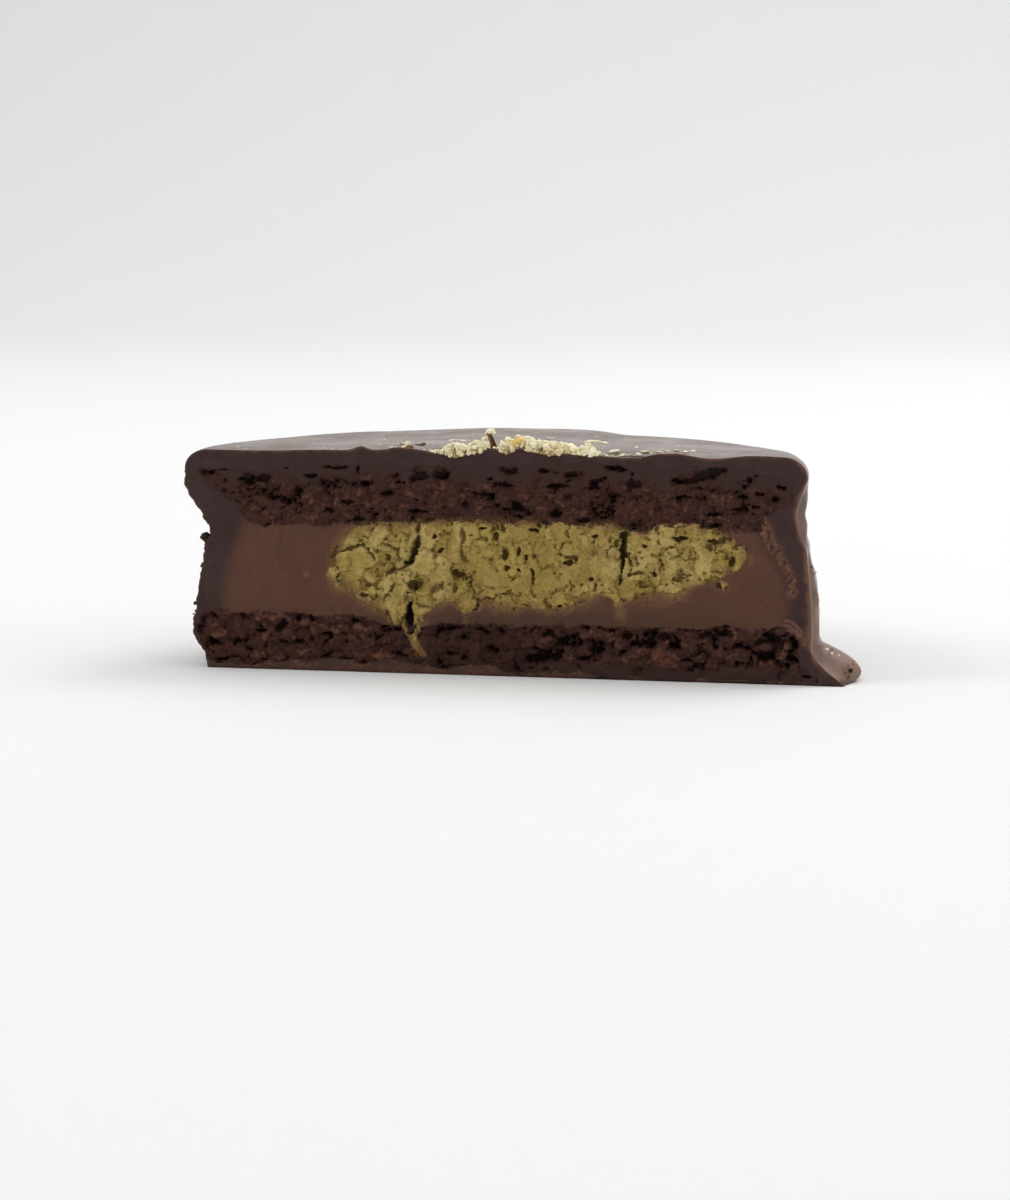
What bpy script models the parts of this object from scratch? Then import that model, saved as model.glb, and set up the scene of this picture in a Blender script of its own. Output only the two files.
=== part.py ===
"""Half of a chocolate-coated alfajor, cut down the middle and lying on its base.

Two cocoa biscuits hold a cocoa filling with a green pistachio core, all inside one
chocolate coat, with a low heap of nut crumbs on the top beside the knife's cut.

The cut is the flat front and faces -Y.  The disc's axis stands on the cut, so the coat
and its layers are half turns about Z: 0 degrees is the right end of the cut, 90 the
back and 180 the left end.  Units are metres and +Z is up.
"""

import math

import bmesh
import bpy
import numpy as np

MM = 0.001

# Driving dimensions
RADIUS = 31.0 * MM
HEIGHT = 22.2 * MM
GAP = 0.3 * MM
CUT_OVERRUN = 1.0 * MM

# The coat's side: (height, how far it stands outside RADIUS), in millimetres
RIGHT_WALL = (
    (0.0, 0.5), (3.4, 0.6), (8.5, 0.4), (12.3, -0.2), (15.9, -1.2), (18.2, -0.5), (20.1, 0.1),
)
BACK_WALL = (
    (0.0, -0.2), (1.2, -0.6), (4.0, -0.8), (10.0, -0.9), (15.0, -0.8), (18.3, 0.1), (20.1, 0.2),
)
LEFT_WALL = (
    (0.0, -1.7), (1.6, -1.4), (3.4, -0.3), (6.8, -0.7), (11.0, -1.3), (14.3, -2.0),
    (16.5, -0.8), (18.6, 0.5), (20.1, 0.4),
)
RIGHT_ENDS = (12.0, 70.0)
LEFT_STARTS = (110.0, 165.0)
WALL_HEIGHTS = (
    0.0, 0.5, 1.0, 1.5, 2.0, 2.6, 3.2, 3.6, 4.4, 6.0, 8.5, 11.0, 13.0, 14.3, 15.9, 17.2, 18.5, 20.1,
)

# The foot where the coat ran out on the right: (height, how far it stands off the side)
FOOT_AT_CUT = (
    (0.0, 3.3), (0.6, 2.6), (1.2, 1.8), (1.8, 1.1), (2.4, 0.5), (3.2, 0.0), (5.0, 0.0),
)
FOOT_ROLL = (
    (0.0, 4.3), (0.5, 4.7), (1.0, 4.8), (1.5, 4.6), (2.0, 4.0), (2.6, 3.2), (3.2, 2.1),
    (3.6, 1.0), (4.4, 0.2), (5.0, 0.0),
)
FOOT_ROLLS = (0.0, 6.0)
FOOT_FADES = (11.0, 27.0)

# The rounded rim and the top: swells are (x, y, half width, rise), in millimetres
RIM_INSET = 2.3 * MM
RIM_TURNS = (18.0, 36.0, 54.0, 72.0, 90.0)
TOP_RINGS = (0.82, 0.62, 0.42, 0.2)
TOP_SWELLS = ((-8.0, 5.0, 8.0, 0.35), (15.0, 1.0, 5.0, -0.25), (4.0, 24.0, 7.0, 0.3))
COAT_COLUMNS = 50
FOOT_CROWDING = 1.3

# Seams between the layers: (level at the axis, rise for each millimetre of X, ripple)
BASE_SEAM = (0.7, 0.0, 0.0)
LOWER_SEAM = (5.25, -0.004, 0.15)
UPPER_SEAM = (14.85, 0.012, 0.15)
TOP_SEAM = (19.6, 0.016, 0.2)
RIPPLE_LENGTH = 23.0

# Layers: radii in millimetres at shares of the height between the two seams
TOP_BISCUIT = {
    "seams": (UPPER_SEAM, TOP_SEAM),
    "right": ((0.0, 26.4), (0.4, 27.2), (0.7, 29.1), (1.0, 28.3)),
    "back": ((0.0, 27.2), (0.5, 28.6), (1.0, 28.4)),
    "left": ((0.0, 25.2), (0.4, 26.4), (0.8, 28.8), (1.0, 29.7)),
}
FILLING = {
    "seams": (LOWER_SEAM, UPPER_SEAM),
    "right": ((0.0, 27.8), (0.25, 28.9), (0.45, 29.1), (0.75, 28.5), (1.0, 27.0)),
    "back": ((0.0, 27.2), (0.5, 27.9), (1.0, 27.0)),
    "left": ((0.0, 25.7), (0.2, 26.8), (0.6, 26.0), (1.0, 25.1)),
}
BOTTOM_BISCUIT = {
    "seams": (BASE_SEAM, LOWER_SEAM),
    "right": ((0.0, 30.2), (0.4, 30.2), (0.8, 29.2), (1.0, 28.5)),
    "back": ((0.0, 28.8), (0.5, 29.0), (1.0, 28.6)),
    "left": ((0.0, 28.6), (0.35, 29.2), (0.8, 29.5), (1.0, 29.1)),
}
LAYER_COLUMNS = 32
LAYER_SHARES = (0.0, 0.22, 0.45, 0.72, 1.0)
LAYER_RING = 0.55

# The core's torn outline on the cut, (x, z) in millimetres, clockwise from its left end
CORE_OUTLINE = (
    (-16.6, 9.6), (-16.1, 12.7), (-14.9, 14.0), (-11.3, 14.8), (-4.2, 15.3), (1.3, 15.3),
    (6.8, 15.3), (12.0, 15.3), (17.0, 15.4), (20.6, 15.4), (24.0, 14.4), (25.2, 12.3),
    (22.6, 10.7), (18.7, 9.1), (15.4, 8.3), (13.3, 7.9), (12.3, 6.9), (10.8, 8.1), (6.4, 6.8),
    (1.8, 6.5), (-3.2, 6.3), (-6.5, 5.4), (-8.8, 3.6), (-10.2, 5.4), (-12.9, 6.8), (-15.4, 8.2),
)
CORE_CENTRE = (4.0 * MM, 11.6 * MM)
CORE_DEPTH = 21.0 * MM
CORE_TURNS = (0.0, 9.0, 20.0, 32.0, 44.0, 56.0, 68.0, 79.0)
TONGUE_LEVEL = 5.9 * MM
TONGUE_DEPTH = 3.0 * MM

# The heap of nut crumbs on the top, a low ridge beside the cut
HEAP_RUN = (-10.0 * MM, 11.2 * MM)
HEAP_MIDDLE = 2.9 * MM
HEAP_REACH = 2.5 * MM
HEAP_HEIGHT = 1.35 * MM
HEAP_BLUNTNESS = 0.1
HEAP_RAGGEDNESS = 0.12
HEAP_COBBLING = 0.2
HEAP_STATIONS = 30
HEAP_SIDES = 12
CRUMB_PITCH = 2.4 * MM

# Colour, roughness
FINISHES = {
    "chocolate_coat": ((0.060, 0.035, 0.028, 1.0), 0.32),
    "top_biscuit": ((0.036, 0.018, 0.014, 1.0), 0.85),
    "cocoa_filling": ((0.085, 0.042, 0.028, 1.0), 0.55),
    "pistachio_core": ((0.235, 0.165, 0.052, 1.0), 0.75),
    "bottom_biscuit": ((0.030, 0.014, 0.011, 1.0), 0.88),
    "nut_crumbs": ((0.68, 0.54, 0.31, 1.0), 0.80),
}


def curve_through(points, places):
    """Heights of a smooth curve through (place, value) points, level past both ends."""
    knots, values = np.array(points, float).T
    slopes = np.gradient(values, knots)
    cell = np.clip(np.searchsorted(knots, places, side="right") - 1, 0, len(knots) - 2)
    span = knots[cell + 1] - knots[cell]
    t = np.clip((places - knots[cell]) / span, 0.0, 1.0)
    start = (1 + 2 * t) * (1 - t) ** 2 * values[cell] + t * (1 - t) ** 2 * span * slopes[cell]
    end = t**2 * (3 - 2 * t) * values[cell + 1] + t**2 * (t - 1) * span * slopes[cell + 1]
    return start + end


def ease(limits, place):
    """0 before the first limit, 1 after the second, and a smooth step between them."""
    t = np.clip((place - limits[0]) / (limits[1] - limits[0]), 0.0, 1.0)
    return t * t * (3 - 2 * t)


def around(angle, right, back, left):
    """Mixes what holds at the right end, the back and the left end, by the angle."""
    at_right = 1 - ease(RIGHT_ENDS, angle)
    at_left = ease(LEFT_STARTS, angle)
    return at_right * right + at_left * left + (1 - at_right - at_left) * back


def on_circle(radius, angle):
    """The x and y of a radius at an angle in degrees."""
    return radius * np.cos(np.radians(angle)), radius * np.sin(np.radians(angle))


def side_radius(angle, height):
    """Radius of the coat's side, with its foot, at angles and heights in millimetres."""
    walls = [curve_through(wall, height) for wall in (RIGHT_WALL, BACK_WALL, LEFT_WALL)]
    rolled = ease(FOOT_ROLLS, angle)
    foot = (1 - rolled) * curve_through(FOOT_AT_CUT, height)
    foot = foot + rolled * curve_through(FOOT_ROLL, height)
    return RADIUS + MM * (around(angle, *walls) + foot * (1 - ease(FOOT_FADES, angle)))


def top_height(x, y):
    """Height of the coat's top: level, with a few low round swells and hollows."""
    height = HEIGHT + 0 * x
    for at_x, at_y, width, rise in TOP_SWELLS:
        distance = np.hypot(x - at_x * MM, y - at_y * MM) / (width * MM)
        height = height + rise * MM * np.exp(-(distance**2))
    return height


def seam_height(seam, x, y):
    """Height of a seam between two layers: a level, a slope along X and a long ripple."""
    level, slope, ripple = seam
    waves = np.sin(x / MM * math.tau / RIPPLE_LENGTH) * np.cos(y / MM * math.tau / RIPPLE_LENGTH)
    return MM * (level + ripple * waves) + slope * x


def half_turn(name, rows, below, above):
    """Closed half disc from rows of points round it, with one axis point below and above.

    Each row runs from the right end of the cut to the left end, so the first and the last
    columns bound the flat face of the cut.
    """
    body = bmesh.new()
    foot = body.verts.new(below)
    head = body.verts.new(above)
    grid = [[body.verts.new(point) for point in row] for row in rows]
    for lower, upper in zip(grid, grid[1:]):
        for a, b, c, d in zip(lower, lower[1:], upper[1:], upper):
            body.faces.new((a, b, c, d))
    for a, b in zip(grid[0], grid[0][1:]):
        body.faces.new((foot, b, a))
    for a, b in zip(grid[-1], grid[-1][1:]):
        body.faces.new((head, a, b))
    right = [row[0] for row in grid]
    left = [row[-1] for row in grid]
    body.faces.new([foot, *right, head, *reversed(left)])
    return finished_object(name, body)


def loft(name, rings):
    """Closed body through rings of equally many points, with flat ends."""
    body = bmesh.new()
    grid = [[body.verts.new(point) for point in ring] for ring in rings]
    for near, far in zip(grid, grid[1:]):
        for i, start in enumerate(near):
            j = (i + 1) % len(near)
            body.faces.new((start, near[j], far[j], far[i]))
    body.faces.new(grid[0])
    body.faces.new(reversed(grid[-1]))
    return finished_object(name, body)


def finished_object(name, body):
    """Turns a bmesh into an object, its quads split one way and its faces pointing out."""
    quads = [face for face in body.faces if len(face.verts) == 4]
    bmesh.ops.triangulate(body, faces=quads, quad_method="FIXED")
    bmesh.ops.recalc_face_normals(body, faces=body.faces)
    mesh = bpy.data.meshes.new(name)
    body.to_mesh(mesh)
    body.free()
    mesh.shade_smooth()
    mesh.set_sharp_from_angle(angle=math.radians(40))
    return bpy.data.objects.new(name, mesh)


def points(x, y, z):
    """Rows of coordinates as a list of points."""
    return list(zip(x.tolist(), y.tolist(), z.tolist()))


def coat_blank():
    """The alfajor's outside: the side with its foot, the rounded rim and the top."""
    turn = np.linspace(0.0, 1.0, COAT_COLUMNS + 1)
    angle = 180.0 * turn**FOOT_CROWDING
    rows = []
    for height in WALL_HEIGHTS:
        x, y = on_circle(side_radius(angle, height + 0 * angle), angle)
        rows.append(points(x, y, height * MM + 0 * x))
    shoulder = WALL_HEIGHTS[-1]
    shoulder_radius = side_radius(angle, shoulder + 0 * angle)
    for degrees in RIM_TURNS:
        lean = math.radians(degrees)
        x, y = on_circle(shoulder_radius - RIM_INSET * (1 - math.cos(lean)), angle)
        rise = (top_height(x, y) - shoulder * MM) * math.sin(lean)
        rows.append(points(x, y, shoulder * MM + rise))
    for share in TOP_RINGS:
        x, y = on_circle((shoulder_radius - RIM_INSET) * share, angle)
        rows.append(points(x, y, top_height(x, y)))
    return half_turn("chocolate_coat", rows, (0, 0, 0), (0, 0, float(top_height(0.0, 0.0))))


def layer_body(name, layer, grow=0.0):
    """A biscuit or filling disc between two seams.  A cutter grows it and runs past the cut."""
    angle = np.linspace(0.0, 180.0, LAYER_COLUMNS + 1)
    lower, upper = layer["seams"]

    def height(share, x, y):
        floor = seam_height(lower, x, y) + GAP / 2 - grow
        roof = seam_height(upper, x, y) - GAP / 2 + grow
        return floor + share * (roof - floor)

    def ring(share, inset=1.0):
        radii = [curve_through(layer[side], share) for side in ("right", "back", "left")]
        x, y = on_circle((around(angle, *radii) * MM + grow) * inset, angle)
        y[[0, -1]] = -CUT_OVERRUN if grow else 0.0
        return points(x, y, height(share, x, y))

    rows = [ring(0.0, LAYER_RING)]
    rows += [ring(share) for share in LAYER_SHARES]
    rows += [ring(1.0, LAYER_RING)]
    front = -CUT_OVERRUN if grow else 0.0
    below, above = ((0.0, front, float(height(share, 0.0, front))) for share in (0.0, 1.0))
    return half_turn(name, rows, below, above)


def outline_normals(outline):
    """Unit normals that point out of a clockwise outline of (x, z) points."""
    along = np.roll(outline, -1, axis=0) - np.roll(outline, 1, axis=0)
    normals = np.stack([-along[:, 1], along[:, 0]], axis=1)
    return normals / np.linalg.norm(normals, axis=1)[:, None]


def core_body(name, grow=0.0):
    """The pistachio core: its torn outline on the cut, closing to a round end behind it.

    Its roof stays under the top biscuit, and the tongue that dips into the bottom biscuit
    is only a few millimetres deep.
    """
    offset = np.array(CORE_OUTLINE) * MM - CORE_CENTRE
    rings = []
    for degrees in CORE_TURNS:
        turn = math.radians(degrees)
        depth = (CORE_DEPTH + grow) * math.sin(turn)
        outline = CORE_CENTRE + offset * (math.cos(turn), math.sqrt(math.cos(turn)))
        x, z = (outline + outline_normals(outline) * grow).T
        lift = ease((0.0, TONGUE_DEPTH), depth)
        z = np.where(z < TONGUE_LEVEL, z + (TONGUE_LEVEL - grow - z) * lift, z)
        z = np.minimum(z, seam_height(UPPER_SEAM, x, depth + 0 * x) - GAP / 2 + grow)
        rings.append(points(x, depth + 0 * x, z))
    if grow:
        rings.insert(0, [(x, -CUT_OVERRUN, z) for x, y, z in rings[0]])
    return loft(name, rings)


def crumb_heap():
    """A low ridge with a flat underside a gap above the coat, cobbled like its crumbs."""
    side = np.linspace(0.0, math.tau, HEAP_SIDES, endpoint=False)
    rings = []
    for along in np.linspace(-1.0, 1.0, HEAP_STATIONS):
        x = (HEAP_RUN[0] * (1 - along) + HEAP_RUN[1] * (1 + along)) / 2 + 0 * side
        swell = math.sqrt(1 - (1 - HEAP_BLUNTNESS) * along**2)
        turn = x * math.tau / CRUMB_PITCH
        wander = 0.6 * np.sin(turn) + 0.4 * np.sin(0.37 * turn)
        y = HEAP_MIDDLE + HEAP_REACH * swell * (1 + HEAP_RAGGEDNESS * wander) * np.cos(side)
        cobbles = 1 - HEAP_COBBLING + HEAP_COBBLING * wander * np.sin(y * math.tau / CRUMB_PITCH)
        crown = HEAP_HEIGHT * swell * cobbles * np.sqrt(np.maximum(np.sin(side), 0.0))
        rings.append(points(x, y, top_height(x, y) + GAP + crown))
    return loft("nut_crumbs", rings)


def finish_material(name):
    """The part's own material, from its colour and roughness."""
    colour, roughness = FINISHES[name]
    material = bpy.data.materials.new(name)
    material.use_nodes = True
    shader = material.node_tree.nodes["Principled BSDF"]
    shader.inputs["Base Color"].default_value = colour
    shader.inputs["Roughness"].default_value = roughness
    shader.inputs["Metallic"].default_value = 0.0
    material.diffuse_color = colour
    return material


def cut_with(piece, cutter):
    """Cuts a piece with a cutter, through a live Boolean."""
    boolean = piece.modifiers.new(cutter.name, "BOOLEAN")
    boolean.operation = "DIFFERENCE"
    boolean.solver = "EXACT"
    boolean.object = cutter


def new_collection(name):
    """A collection of that name under the scene's."""
    collection = bpy.data.collections.new(name)
    bpy.context.scene.collection.children.link(collection)
    return collection


def box_centre(piece):
    """Middle of a mesh's box, from its vertices."""
    corners = np.array([vertex.co for vertex in piece.data.vertices])
    return (corners.min(axis=0) + corners.max(axis=0)) / 2


def main():
    """Builds the pieces and the cutters, cuts them, and sets them on the origin."""
    for old in list(bpy.data.objects):
        bpy.data.objects.remove(old, do_unlink=True)
    parts = new_collection("halved_alfajor")
    cutters = new_collection("cutters")

    coat = coat_blank()
    top = layer_body("top_biscuit", TOP_BISCUIT)
    filling = layer_body("cocoa_filling", FILLING)
    bottom = layer_body("bottom_biscuit", BOTTOM_BISCUIT)
    core = core_body("pistachio_core")
    heap = crumb_heap()

    bed_layers = (("top_bed", TOP_BISCUIT), ("filling_bed", FILLING), ("bottom_bed", BOTTOM_BISCUIT))
    beds = [layer_body(name, layer, GAP) for name, layer in bed_layers]
    core_bed = core_body("core_bed", GAP)
    for bed in beds:
        cut_with(coat, bed)
    cut_with(filling, core_bed)
    cut_with(bottom, core_bed)

    # The origin is under the middle of the whole half
    root = bpy.data.objects.new("halved_alfajor_root", None)
    parts.objects.link(root)
    middle = box_centre(coat)
    root.location = (-middle[0], -middle[1], 0.0)
    for piece in (coat, top, filling, bottom, core, heap):
        piece.data.materials.append(finish_material(piece.name))
        piece.parent = root
        parts.objects.link(piece)
    for cutter in (*beds, core_bed):
        cutter.parent = root
        cutter.hide_render = True
        cutter.display_type = "WIRE"
        cutters.objects.link(cutter)


main()
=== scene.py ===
"""Looks of half a chocolate-coated alfajor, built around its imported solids.

Every shape is worked out in the cookie's own millimetres: x along the cut to the right,
y from the cut into the cookie, z up from the base, with the disc's axis at x = 0 on the
cut.  One description of the cut face (where each layer lies and how deep its surface is)
serves all the pieces, so neighbours meet along one torn, crumbly surface.
"""

import logging
import math
from dataclasses import dataclass, field
from enum import Enum

import bmesh
import bpy
import numpy as np
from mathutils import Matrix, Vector


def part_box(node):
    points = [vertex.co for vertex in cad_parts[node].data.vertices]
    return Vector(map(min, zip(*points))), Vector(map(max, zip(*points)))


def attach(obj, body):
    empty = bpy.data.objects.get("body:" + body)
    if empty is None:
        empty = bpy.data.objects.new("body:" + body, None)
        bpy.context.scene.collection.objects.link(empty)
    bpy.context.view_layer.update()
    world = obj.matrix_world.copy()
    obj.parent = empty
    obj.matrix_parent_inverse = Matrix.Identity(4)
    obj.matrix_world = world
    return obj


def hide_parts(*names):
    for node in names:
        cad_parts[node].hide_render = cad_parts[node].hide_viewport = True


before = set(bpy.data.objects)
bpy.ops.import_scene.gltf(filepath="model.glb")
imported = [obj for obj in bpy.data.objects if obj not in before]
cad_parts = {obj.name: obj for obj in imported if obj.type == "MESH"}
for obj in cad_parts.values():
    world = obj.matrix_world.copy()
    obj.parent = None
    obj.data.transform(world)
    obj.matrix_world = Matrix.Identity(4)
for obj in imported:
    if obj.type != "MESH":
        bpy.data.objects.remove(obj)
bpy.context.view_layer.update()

BODY = "root"
MM = 0.001
log = logging.getLogger("alfajor")

Array = np.ndarray
Points = tuple[tuple[float, ...], ...]
Material = bpy.types.Material
Piece = bpy.types.Object
Socket = bpy.types.NodeSocket


# ---- numbers and noise


def hashed(ix: Array, iy: Array, iz: Array, seed: int) -> Array:
    """Pseudo-random numbers for whole-number cells.

    The three indices and the seed are multiplied by odd numbers and mixed by shifts.

    Args:
        ix, iy, iz: Whole-number cell indices.
        seed: Picks one field of numbers.

    Returns:
        Numbers from 0 to 1.
    """
    mixed = ix.astype(np.int64) * 374761393 + iy.astype(np.int64) * 2246822519
    mixed = (mixed + iz.astype(np.int64) * 668265263 + seed * 974634777) & 0xFFFFFFFF
    mixed = ((mixed ^ (mixed >> 13)) * 1274126177) & 0xFFFFFFFF
    mixed = ((mixed ^ (mixed >> 15)) * 2246822519) & 0xFFFFFFFF
    return ((mixed ^ (mixed >> 16)) & 0xFFFFF) / float(0xFFFFF)


def value_noise(x: Array, y: Array | float, z: Array, seed: int) -> Array:
    """Smooth noise: random values on a unit lattice, blended by a fifth-order step.

    Args:
        x, y, z: Places, in cells of the lattice.
        seed: Picks one field.

    Returns:
        Values from -1 to 1.
    """
    x, y, z = np.broadcast_arrays(np.asarray(x, float), np.asarray(y, float), np.asarray(z, float))
    cell = [np.floor(axis) for axis in (x, y, z)]
    share = [axis - floor for axis, floor in zip((x, y, z), cell)]
    ease = [t * t * t * (t * (6 * t - 15) + 10) for t in share]
    total = np.zeros(x.shape)
    for corner in range(8):
        step = ((corner >> 2) & 1, (corner >> 1) & 1, corner & 1)
        weight = np.ones(x.shape)
        for axis in range(3):
            weight = weight * (ease[axis] if step[axis] else 1 - ease[axis])
        total += weight * hashed(cell[0] + step[0], cell[1] + step[1], cell[2] + step[2], seed)
    return 2 * total - 1


def noise(
    x: Array, z: Array, size: float, seed: int, octaves: int = 3, y: Array | float = 0.0
) -> Array:
    """Sum of value noises, each half as large and half as strong as the one before.

    Args:
        x, z: Places, in millimetres.
        size: Size of the largest lumps, in millimetres.
        seed: Picks one field.
        octaves: How many noises are summed.
        y: Third axis of the places, in millimetres.

    Returns:
        Values from about -1 to 1.
    """
    total = np.zeros(np.broadcast(x, y, z).shape)
    scale, weight, whole = 1.0 / size, 1.0, 0.0
    for octave in range(octaves):
        shift = 17.3 * octave
        part = value_noise(x * scale + shift, y * scale - shift, z * scale + shift, seed + octave)
        total = total + weight * part
        whole += weight
        scale, weight = scale * 2.03, weight * 0.5
    return total / whole * 1.35


@dataclass(frozen=True)
class Crumbs:
    """Cells around scattered points: one point in each square of a lattice, jittered.

    For each place it holds how near the nearest and the second nearest point are, in
    pitches, a random number of the nearest point, and how far off it lies, in millimetres.
    """

    near: Array
    second: Array
    tone: Array
    off_x: Array
    off_z: Array

    @classmethod
    def over(cls, x: Array, z: Array, size: float, seed: int) -> "Crumbs":
        """Works out the cells for places on the cut.

        Args:
            x, z: The places, in millimetres.
            size: Pitch of the lattice, in millimetres.
            seed: Picks one scatter.

        Returns:
            The cells.
        """
        u, v = x / size, z / size
        iu, iv = np.floor(u), np.floor(v)
        near, second = np.full(u.shape, 9.0), np.full(u.shape, 9.0)
        tone, off_x, off_z = np.zeros(u.shape), np.zeros(u.shape), np.zeros(u.shape)
        for step_u, step_v in np.ndindex(3, 3):
            cu, cv = iu + step_u - 1, iv + step_v - 1
            to_u = cu + 0.1 + 0.8 * hashed(cu, cu * 0, cv, seed) - u
            to_v = cv + 0.1 + 0.8 * hashed(cu, cu * 0 + 1, cv, seed) - v
            distance = np.hypot(to_u, to_v)
            closer = distance < near
            second = np.where(closer, near, np.minimum(second, distance))
            tone = np.where(closer, hashed(cu, cu * 0 + 2, cv, seed), tone)
            off_x = np.where(closer, to_u * size, off_x)
            off_z = np.where(closer, to_v * size, off_z)
            near = np.where(closer, distance, near)
        return cls(near, second, tone, off_x, off_z)

    def dome(self, reach: float) -> Array:
        """Round lumps over the points, 1 in their middles and 0 from the reach on."""
        return np.sqrt(np.clip(1 - (self.near / reach) ** 2, 0.0, 1.0))

    def lean(self) -> Array:
        """Flat tops that lean each its own way: a rise in millimetres."""
        way = 44.0 * self.tone
        return self.off_x * np.cos(way) + self.off_z * np.sin(way)


def step(low: float, high: float, value: Array) -> Array:
    """Smooth step from 0 at low to 1 at high; low may be above high."""
    t = np.clip((value - low) / (high - low), 0.0, 1.0)
    return t * t * (3 - 2 * t)


def most(*masks: Array) -> Array:
    """The strongest of some masks at each place."""
    return np.maximum.reduce(np.broadcast_arrays(*masks))


def curve_through(points: Points, places: Array) -> Array:
    """Cubic curve through (place, value) points, with slopes from their neighbours.

    Args:
        points: The points, in rising order of place.
        places: Where the curve is read; past both ends it stays level.

    Returns:
        The curve's values.
    """
    knots, values = np.array(points, float).T
    slopes = np.gradient(values, knots)
    cell = np.clip(np.searchsorted(knots, places, side="right") - 1, 0, len(knots) - 2)
    span = knots[cell + 1] - knots[cell]
    t = np.clip((places - knots[cell]) / span, 0.0, 1.0)
    start = (1 + 2 * t) * (1 - t) ** 2 * values[cell] + t * (1 - t) ** 2 * span * slopes[cell]
    end = t**2 * (3 - 2 * t) * values[cell + 1] + t**2 * (t - 1) * span * slopes[cell + 1]
    return start + end


def line_distance(x: Array, z: Array, line: Points) -> Array:
    """Distance from places on the cut to a line of straight pieces, in millimetres."""
    nearest = np.full(np.shape(x), 1e9)
    for (ax, az), (bx, bz) in zip(line, line[1:]):
        length = max((bx - ax) ** 2 + (bz - az) ** 2, 1e-9)
        t = np.clip(((x - ax) * (bx - ax) + (z - az) * (bz - az)) / length, 0, 1)
        nearest = np.minimum(nearest, np.hypot(x - ax - t * (bx - ax), z - az - t * (bz - az)))
    return nearest


def inside_distance(x: Array, z: Array, outline: Points) -> Array:
    """Distance to a closed outline, positive inside it and negative outside.

    A place is inside when a line from it to the right crosses the outline an odd
    number of times.
    """
    closed = (*outline, outline[0])
    inside = np.zeros(np.shape(x), bool)
    for (ax, az), (bx, bz) in zip(closed, closed[1:]):
        if az == bz:
            continue
        crosses = (az > z) != (bz > z)
        inside ^= crosses & (x < ax + (z - az) * (bx - ax) / (bz - az))
    distance = line_distance(x, z, closed)
    return np.where(inside, distance, -distance)


# ---- meshes


@dataclass(frozen=True)
class Place:
    """Where the cookie's own axes stand in the row's frame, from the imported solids."""

    axis_x: float
    cut_y: float

    def to_row(self, points: Array) -> Array:
        """Own millimetres to the row's metres."""
        return points * MM + np.array([self.axis_x, self.cut_y, 0.0])


def grid_quads(index: Array) -> Array:
    """Quads between the neighbours of a two-dimensional array of vertex numbers."""
    corners = (index[:-1, :-1], index[1:, :-1], index[1:, 1:], index[:-1, 1:])
    return np.stack([corner.ravel() for corner in corners], axis=1)


def fan(centre: int, rim: Array) -> Array:
    """Triangles from one vertex to the neighbours along a rim."""
    return np.stack([np.full(len(rim) - 1, centre), rim[:-1], rim[1:]], axis=1)


def put(name: str, data: bpy.types.ID) -> Piece:
    """Links a new object with this data into the scene."""
    added = bpy.data.objects.new(name, data)
    bpy.context.scene.collection.objects.link(added)
    return added


def solid(
    name: str,
    points: Array,
    quads: Array,
    triangles: Array,
    values: dict[str, Array],
    *materials: Material,
    finishes: Array | None = None,
) -> Piece:
    """Puts a closed surface into Blender, with its faces turned outwards.

    Args:
        name: The piece's name.
        points: Vertices in the row's metres.
        quads: Vertex numbers of the four-sided faces.
        triangles: Vertex numbers of the three-sided faces.
        values: Numbers carried by the vertices, for the material to read.
        materials: The piece's materials.
        finishes: Number of each face's material, where there is more than one.

    Returns:
        The new object, at the origin, in the scene.
    """
    mesh = bpy.data.meshes.new(name)
    mesh.from_pydata(points.tolist(), [], quads.tolist() + triangles.tolist())
    if finishes is not None:
        mesh.polygons.foreach_set("material_index", finishes.astype(np.int32))
    for label, numbers in values.items():
        attribute = mesh.attributes.new(label, "FLOAT", "POINT")
        attribute.data.foreach_set("value", np.asarray(numbers, np.float32))
    turned = bmesh.new()
    turned.from_mesh(mesh)
    bmesh.ops.recalc_face_normals(turned, faces=turned.faces)
    turned.to_mesh(mesh)
    turned.free()
    mesh.shade_smooth()
    for material in materials:
        mesh.materials.append(material)
    return put(name, mesh)


def rod(
    name: str, loops: Array, values: dict[str, Array], place: Place, material: Material
) -> Piece:
    """A closed body carried along loops of points, with a fan of faces over both ends.

    Args:
        name: The piece's name.
        loops: Points by loop and place in the loop, in own millimetres.
        values: Numbers carried by those points; an end takes the middle of its loop.
        place: Where the cookie stands.
        material: The piece's material.

    Returns:
        The new object.
    """
    index = np.arange(loops.shape[0] * loops.shape[1]).reshape(loops.shape[:2])
    closed = np.concatenate([index, index[:, :1]], axis=1)
    caps = [fan(index.size, closed[0]), fan(index.size + 1, closed[-1])]
    ends = [loops[side].mean(axis=0) for side in (0, -1)]
    points = place.to_row(np.concatenate([loops.reshape(-1, 3), ends]))
    carried = {
        label: np.append(numbers.ravel(), (numbers[0].mean(), numbers[-1].mean()))
        for label, numbers in values.items()
    }
    return solid(name, points, grid_quads(closed), np.concatenate(caps), carried, material)


def set_piece(piece: Piece, slot: str, *nodes: str) -> None:
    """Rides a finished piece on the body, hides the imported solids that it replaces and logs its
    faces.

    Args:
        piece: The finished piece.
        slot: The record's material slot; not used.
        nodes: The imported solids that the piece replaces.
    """
    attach(piece, BODY)
    if nodes:
        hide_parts(*nodes)
    log.info("%s: %d faces", piece.name, len(piece.data.polygons))


# ---- materials


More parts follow.
